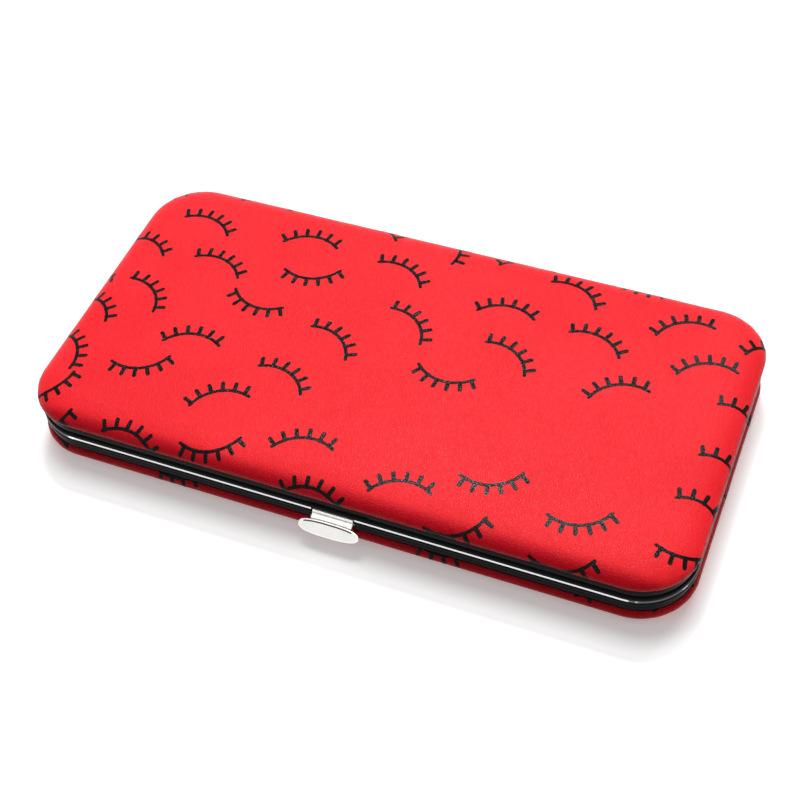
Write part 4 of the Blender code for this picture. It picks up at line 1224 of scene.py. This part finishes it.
def pad_groove(metals):
    """Cutter for the fine groove along the face's upper edge, whose faces take the dark painted shade
    material.
    """
    rings = []
    for across in even_steps(GROOVE_X[0], GROOVE_X[1] - GROOVE_X[0], GROOVE_STEPS):
        share = (1.0 - abs(2 * across / PAD_WIDTH) ** PAD_SQUARENESS) ** (1 / PAD_SQUARENESS)
        low = GROOVE_MARGIN - share * PAD_DEPTH / 2
        high = low + GROOVE_WIDTH
        bottom = PAD_THICKNESS / 2 - PAD_DOME - GROOVE_DEPTH
        rings.append([(across, low, bottom), (across, high, bottom),
                      (across, high, PAD_THICKNESS), (across, low, PAD_THICKNESS)])
    groove = solid("groove", rings, *metals)
    for face in groove.data.polygons:
        face.material_index = 1
    return groove


def drawn_in(points, margin):
    """A closed outline, each side moved inwards by a margin."""
    area = sum(a[0] * b[1] - b[0] * a[1] for a, b in zip(points, points[1:] + points[:1]))
    hand = math.copysign(1.0, area)
    made = []
    for index, point in enumerate(points):
        here = Vector(point)
        before = (here - Vector(points[index - 1])).normalized()
        after = (Vector(points[(index + 1) % len(points)]) - here).normalized()
        inward = Vector((-before.y - after.y, before.x + after.x)) * hand
        made.append(tuple(here + inward * margin / (1.0 + before.dot(after))))
    return made


def make_neck(metals):
    """The tab's neck with its nose, bent from plate, its side edges broken."""
    top = arc(NECK_TOP_CENTRE, NECK_TOP_RADII, 0.0, 90.0, NECK_TOP_STEPS)
    line = [(inset * MM, rise * MM) for inset, rise in NECK_LINE]
    full = eased(line + top[:1], NECK_ROUND)[:-1] + top
    small = drawn_in(full, NECK_EDGE)
    outlines = ((-NECK_HALF, small), (NECK_EDGE - NECK_HALF, full),
                (NECK_HALF - NECK_EDGE, full), (NECK_HALF, small))
    rings = [[(x, inset - HALF_Y, SPLIT_Z + rise) for inset, rise in outline] for x, outline in outlines]
    return solid("push_tab", rings, *metals)


def make_tab(metals):
    """The push tab: pad, neck with nose, and a barrel in two parts round its pin."""
    pin_low, pin_high = LATCH_PIN_BOX
    axis = (pin_low + pin_high) / 2
    tab = make_neck(metals)
    joined = [make_pad(metals)]
    for sign in (-1, 1):
        low, high = sorted(sign * end for end in BARREL_ENDS)
        barrel = lathe("barrel", axis, chamfered(low, high, BARREL_RADIUS, BARREL_EDGE), metals[0])
        lug = box("lug", (low + BARREL_EDGE, LUG_INSET - HALF_Y, axis.z - LUG_HEIGHT / 2),
                  (high - BARREL_EDGE, axis.y, axis.z + LUG_HEIGHT / 2), metals[0])
        joined += [lug, barrel]
    combine(tab, joined, "UNION")
    bore = lathe("bore", axis, [(-NECK_HALF, BARREL_BORE), (NECK_HALF, BARREL_BORE)])
    combine(tab, [bore], "DIFFERENCE")
    return tab


def make_materials():
    """One material for each of the record's slots."""
    return {
        "leatherette": make_leather(),
        "enamel": make_enamel(),
        "foam": make_foam(),
        "board": make_board(),
        "lining": make_velvet(),
        "magnet": make_magnet(),
        "nickel": make_metal("nickel", rgb(0.86, 0.85, 0.83), rgb(0.80, 0.79, 0.76), (0.26, 0.40),
                             (0.1, 1.0, 1.0)),
        "steel": make_metal("steel", rgb(0.62, 0.62, 0.62), rgb(0.52, 0.52, 0.53), (0.22, 0.38),
                            (0.2, 1.0, 1.0)),
    }


def cad_materials(materials):
    """Give each carried-over node its procedural material."""
    slots = {part["node"]: part["material_slot"] for part in frame["record"]["subparts"]}
    for node, piece in frame["nodes"].items():
        piece.data.materials.clear()
        piece.data.materials.append(materials[slots[node]])


def stand_for(piece, body, slot, *nodes):
    """Let a made piece ride on a body, in its nodes' place if it has any."""
    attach(piece, body)
    if nodes:
        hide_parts(*nodes)


def dress_half(body, side, pocket_rise, lashes, materials, ink):
    """The soft layers of one half: leatherette with its print, foam and lined tray."""
    cover = make_cover(body + "_leather", side, pocket_rise, materials["leatherette"])
    stand_for(cover, body, "leatherette", body + "_cover")
    stand_for(make_print(body + "_print", side, lashes, ink), body, "leatherette")
    foam = make_foam_layer(body + "_foam", side, materials["foam"])
    stand_for(foam, body, "foam", body + "_padding")
    tray = make_tray(body + "_lining", side, materials["lining"])
    stand_for(tray, body, "lining", body + "_tray")


def make_hinges(materials):
    """Both hinges: two knuckles on the base's leaf, one on the lid's, and a headed pin."""
    leaves = (
        ("base", BASE, [(-HINGE_HALF, -BASE_KNUCKLE_START), (BASE_KNUCKLE_START, HINGE_HALF)],
         [(-BASE_KNUCKLE_START, BASE_KNUCKLE_START)]),
        ("lid", LID, [(-LID_KNUCKLE_HALF, LID_KNUCKLE_HALF)],
         [(-HINGE_HALF, -LID_KNUCKLE_HALF), (LID_KNUCKLE_HALF, HINGE_HALF)]),
    )
    # The hinge plate is a darker copy of the nickel, painted shade that keeps it from clipping white under
    # the lamps; its higher roughness is a real satin finish
    plate = make_metal("satin_shaded_nickel", rgb(0.60, 0.59, 0.57), rgb(0.52, 0.51, 0.49), (0.36, 0.5),
                       (0.1, 1.0, 1.0))
    for label, sign in (("left", -1), ("right", 1)):
        x = sign * HINGE_X
        for body, side, spans, windows in leaves:
            leaf = make_leaf(body + "_leaf_" + label, x, side, spans, windows, plate)
            stand_for(leaf, body, "nickel", body + "_hinge_leaf_" + label)
        pin = make_pin("headed_pin_" + label, x, materials["steel"])
        stand_for(pin, "base", "steel", "hinge_pin_" + label)


def make_case():
    materials = make_materials()
    cad_materials(materials)
    ink = make_ink()
    dress_half("lid", LID, LID_POCKET_RISE, LID_LASHES, materials, ink)
    dress_half("base", BASE, BASE_POCKET_RISE, BASE_LASHES, materials, ink)
    stand_for(make_lid_frame(materials["enamel"]), "lid", "enamel", "lid_frame")
    stand_for(make_base_frame(materials["enamel"]), "base", "enamel", "base_frame")
    make_hinges(materials)
    # The tab's second material is the painted shade in its groove
    stand_for(make_tab((materials["nickel"], make_groove_painted_shade())), "latch", "nickel", "latch_tab")


def make_world():
    world = bpy.data.worlds.new("studio")
    world.use_nodes = True
    nodes = Nodes(world.node_tree)
    backdrop = world.node_tree.nodes["Background"].inputs
    backdrop["Color"].default_value = rgb(1.0, 1.0, 1.0)
    nodes.put(backdrop["Strength"], nodes.seen_strength(AMBIENT, 1.0 - AMBIENT, 1.0 - AMBIENT))
    bpy.context.scene.world = world


def make_floor():
    """A white floor that keeps the case's shadow and fades to plain white far away."""
    shade = Shade("white_floor")
    seen = shade.span(shade.reach(shade.place), (FLOOR_NEAR, FLOOR_FAR), (FLOOR_LIFT, 1.0), "LINEAR")
    shade.plain("Base Color", rgb(0.86, 0.86, 0.86))
    shade.plain("Roughness", 0.5)
    shade.plain("Emission Color", rgb(1.0, 1.0, 1.0))
    shade.set(emission_strength=shade.seen_strength(0.0, seen, FLOOR_MIRRORED))
    bm = bmesh.new()
    bmesh.ops.create_grid(bm, x_segments=1, y_segments=1, size=FLOOR_SIZE / 2,
                          matrix=Matrix.Translation((0.0, 0.0, -FLOOR_DROP)))
    finish("floor", bm, shade.material)


def lamp_turn(place, aim, run):
    """Rotation of a lamp that faces its aim, with its long side along a run."""
    away = (Vector(place) - Vector(aim)).normalized()
    side = away.cross(Vector(run)).normalized()
    return Matrix((side.cross(away), side, away)).transposed().to_euler()


def make_lamps():
    for name, place, aim, run, size, power in LAMPS:
        lamp = bpy.data.lights.new(name, "AREA")
        lamp.shape = "RECTANGLE"
        lamp.size = size[0]
        lamp.size_y = size[1]
        lamp.energy = power
        holder = bpy.data.objects.new(name, lamp)
        holder.location = place
        holder.rotation_euler = lamp_turn(place, aim, run)
        bpy.context.scene.collection.objects.link(holder)


def make_camera():
    camera = bpy.data.cameras.new("camera")
    camera.lens = CAMERA_LENS
    camera.clip_start = CLIP_START
    camera.clip_end = CLIP_END
    holder = bpy.data.objects.new("camera", camera)
    holder.location = CAMERA_PLACE
    holder.rotation_euler = [math.radians(angle) for angle in CAMERA_TURN]
    bpy.context.scene.collection.objects.link(holder)
    bpy.context.scene.camera = holder


make_case()
make_world()
make_floor()
make_lamps()
make_camera()
bpy.context.scene.view_settings.view_transform = "Standard"
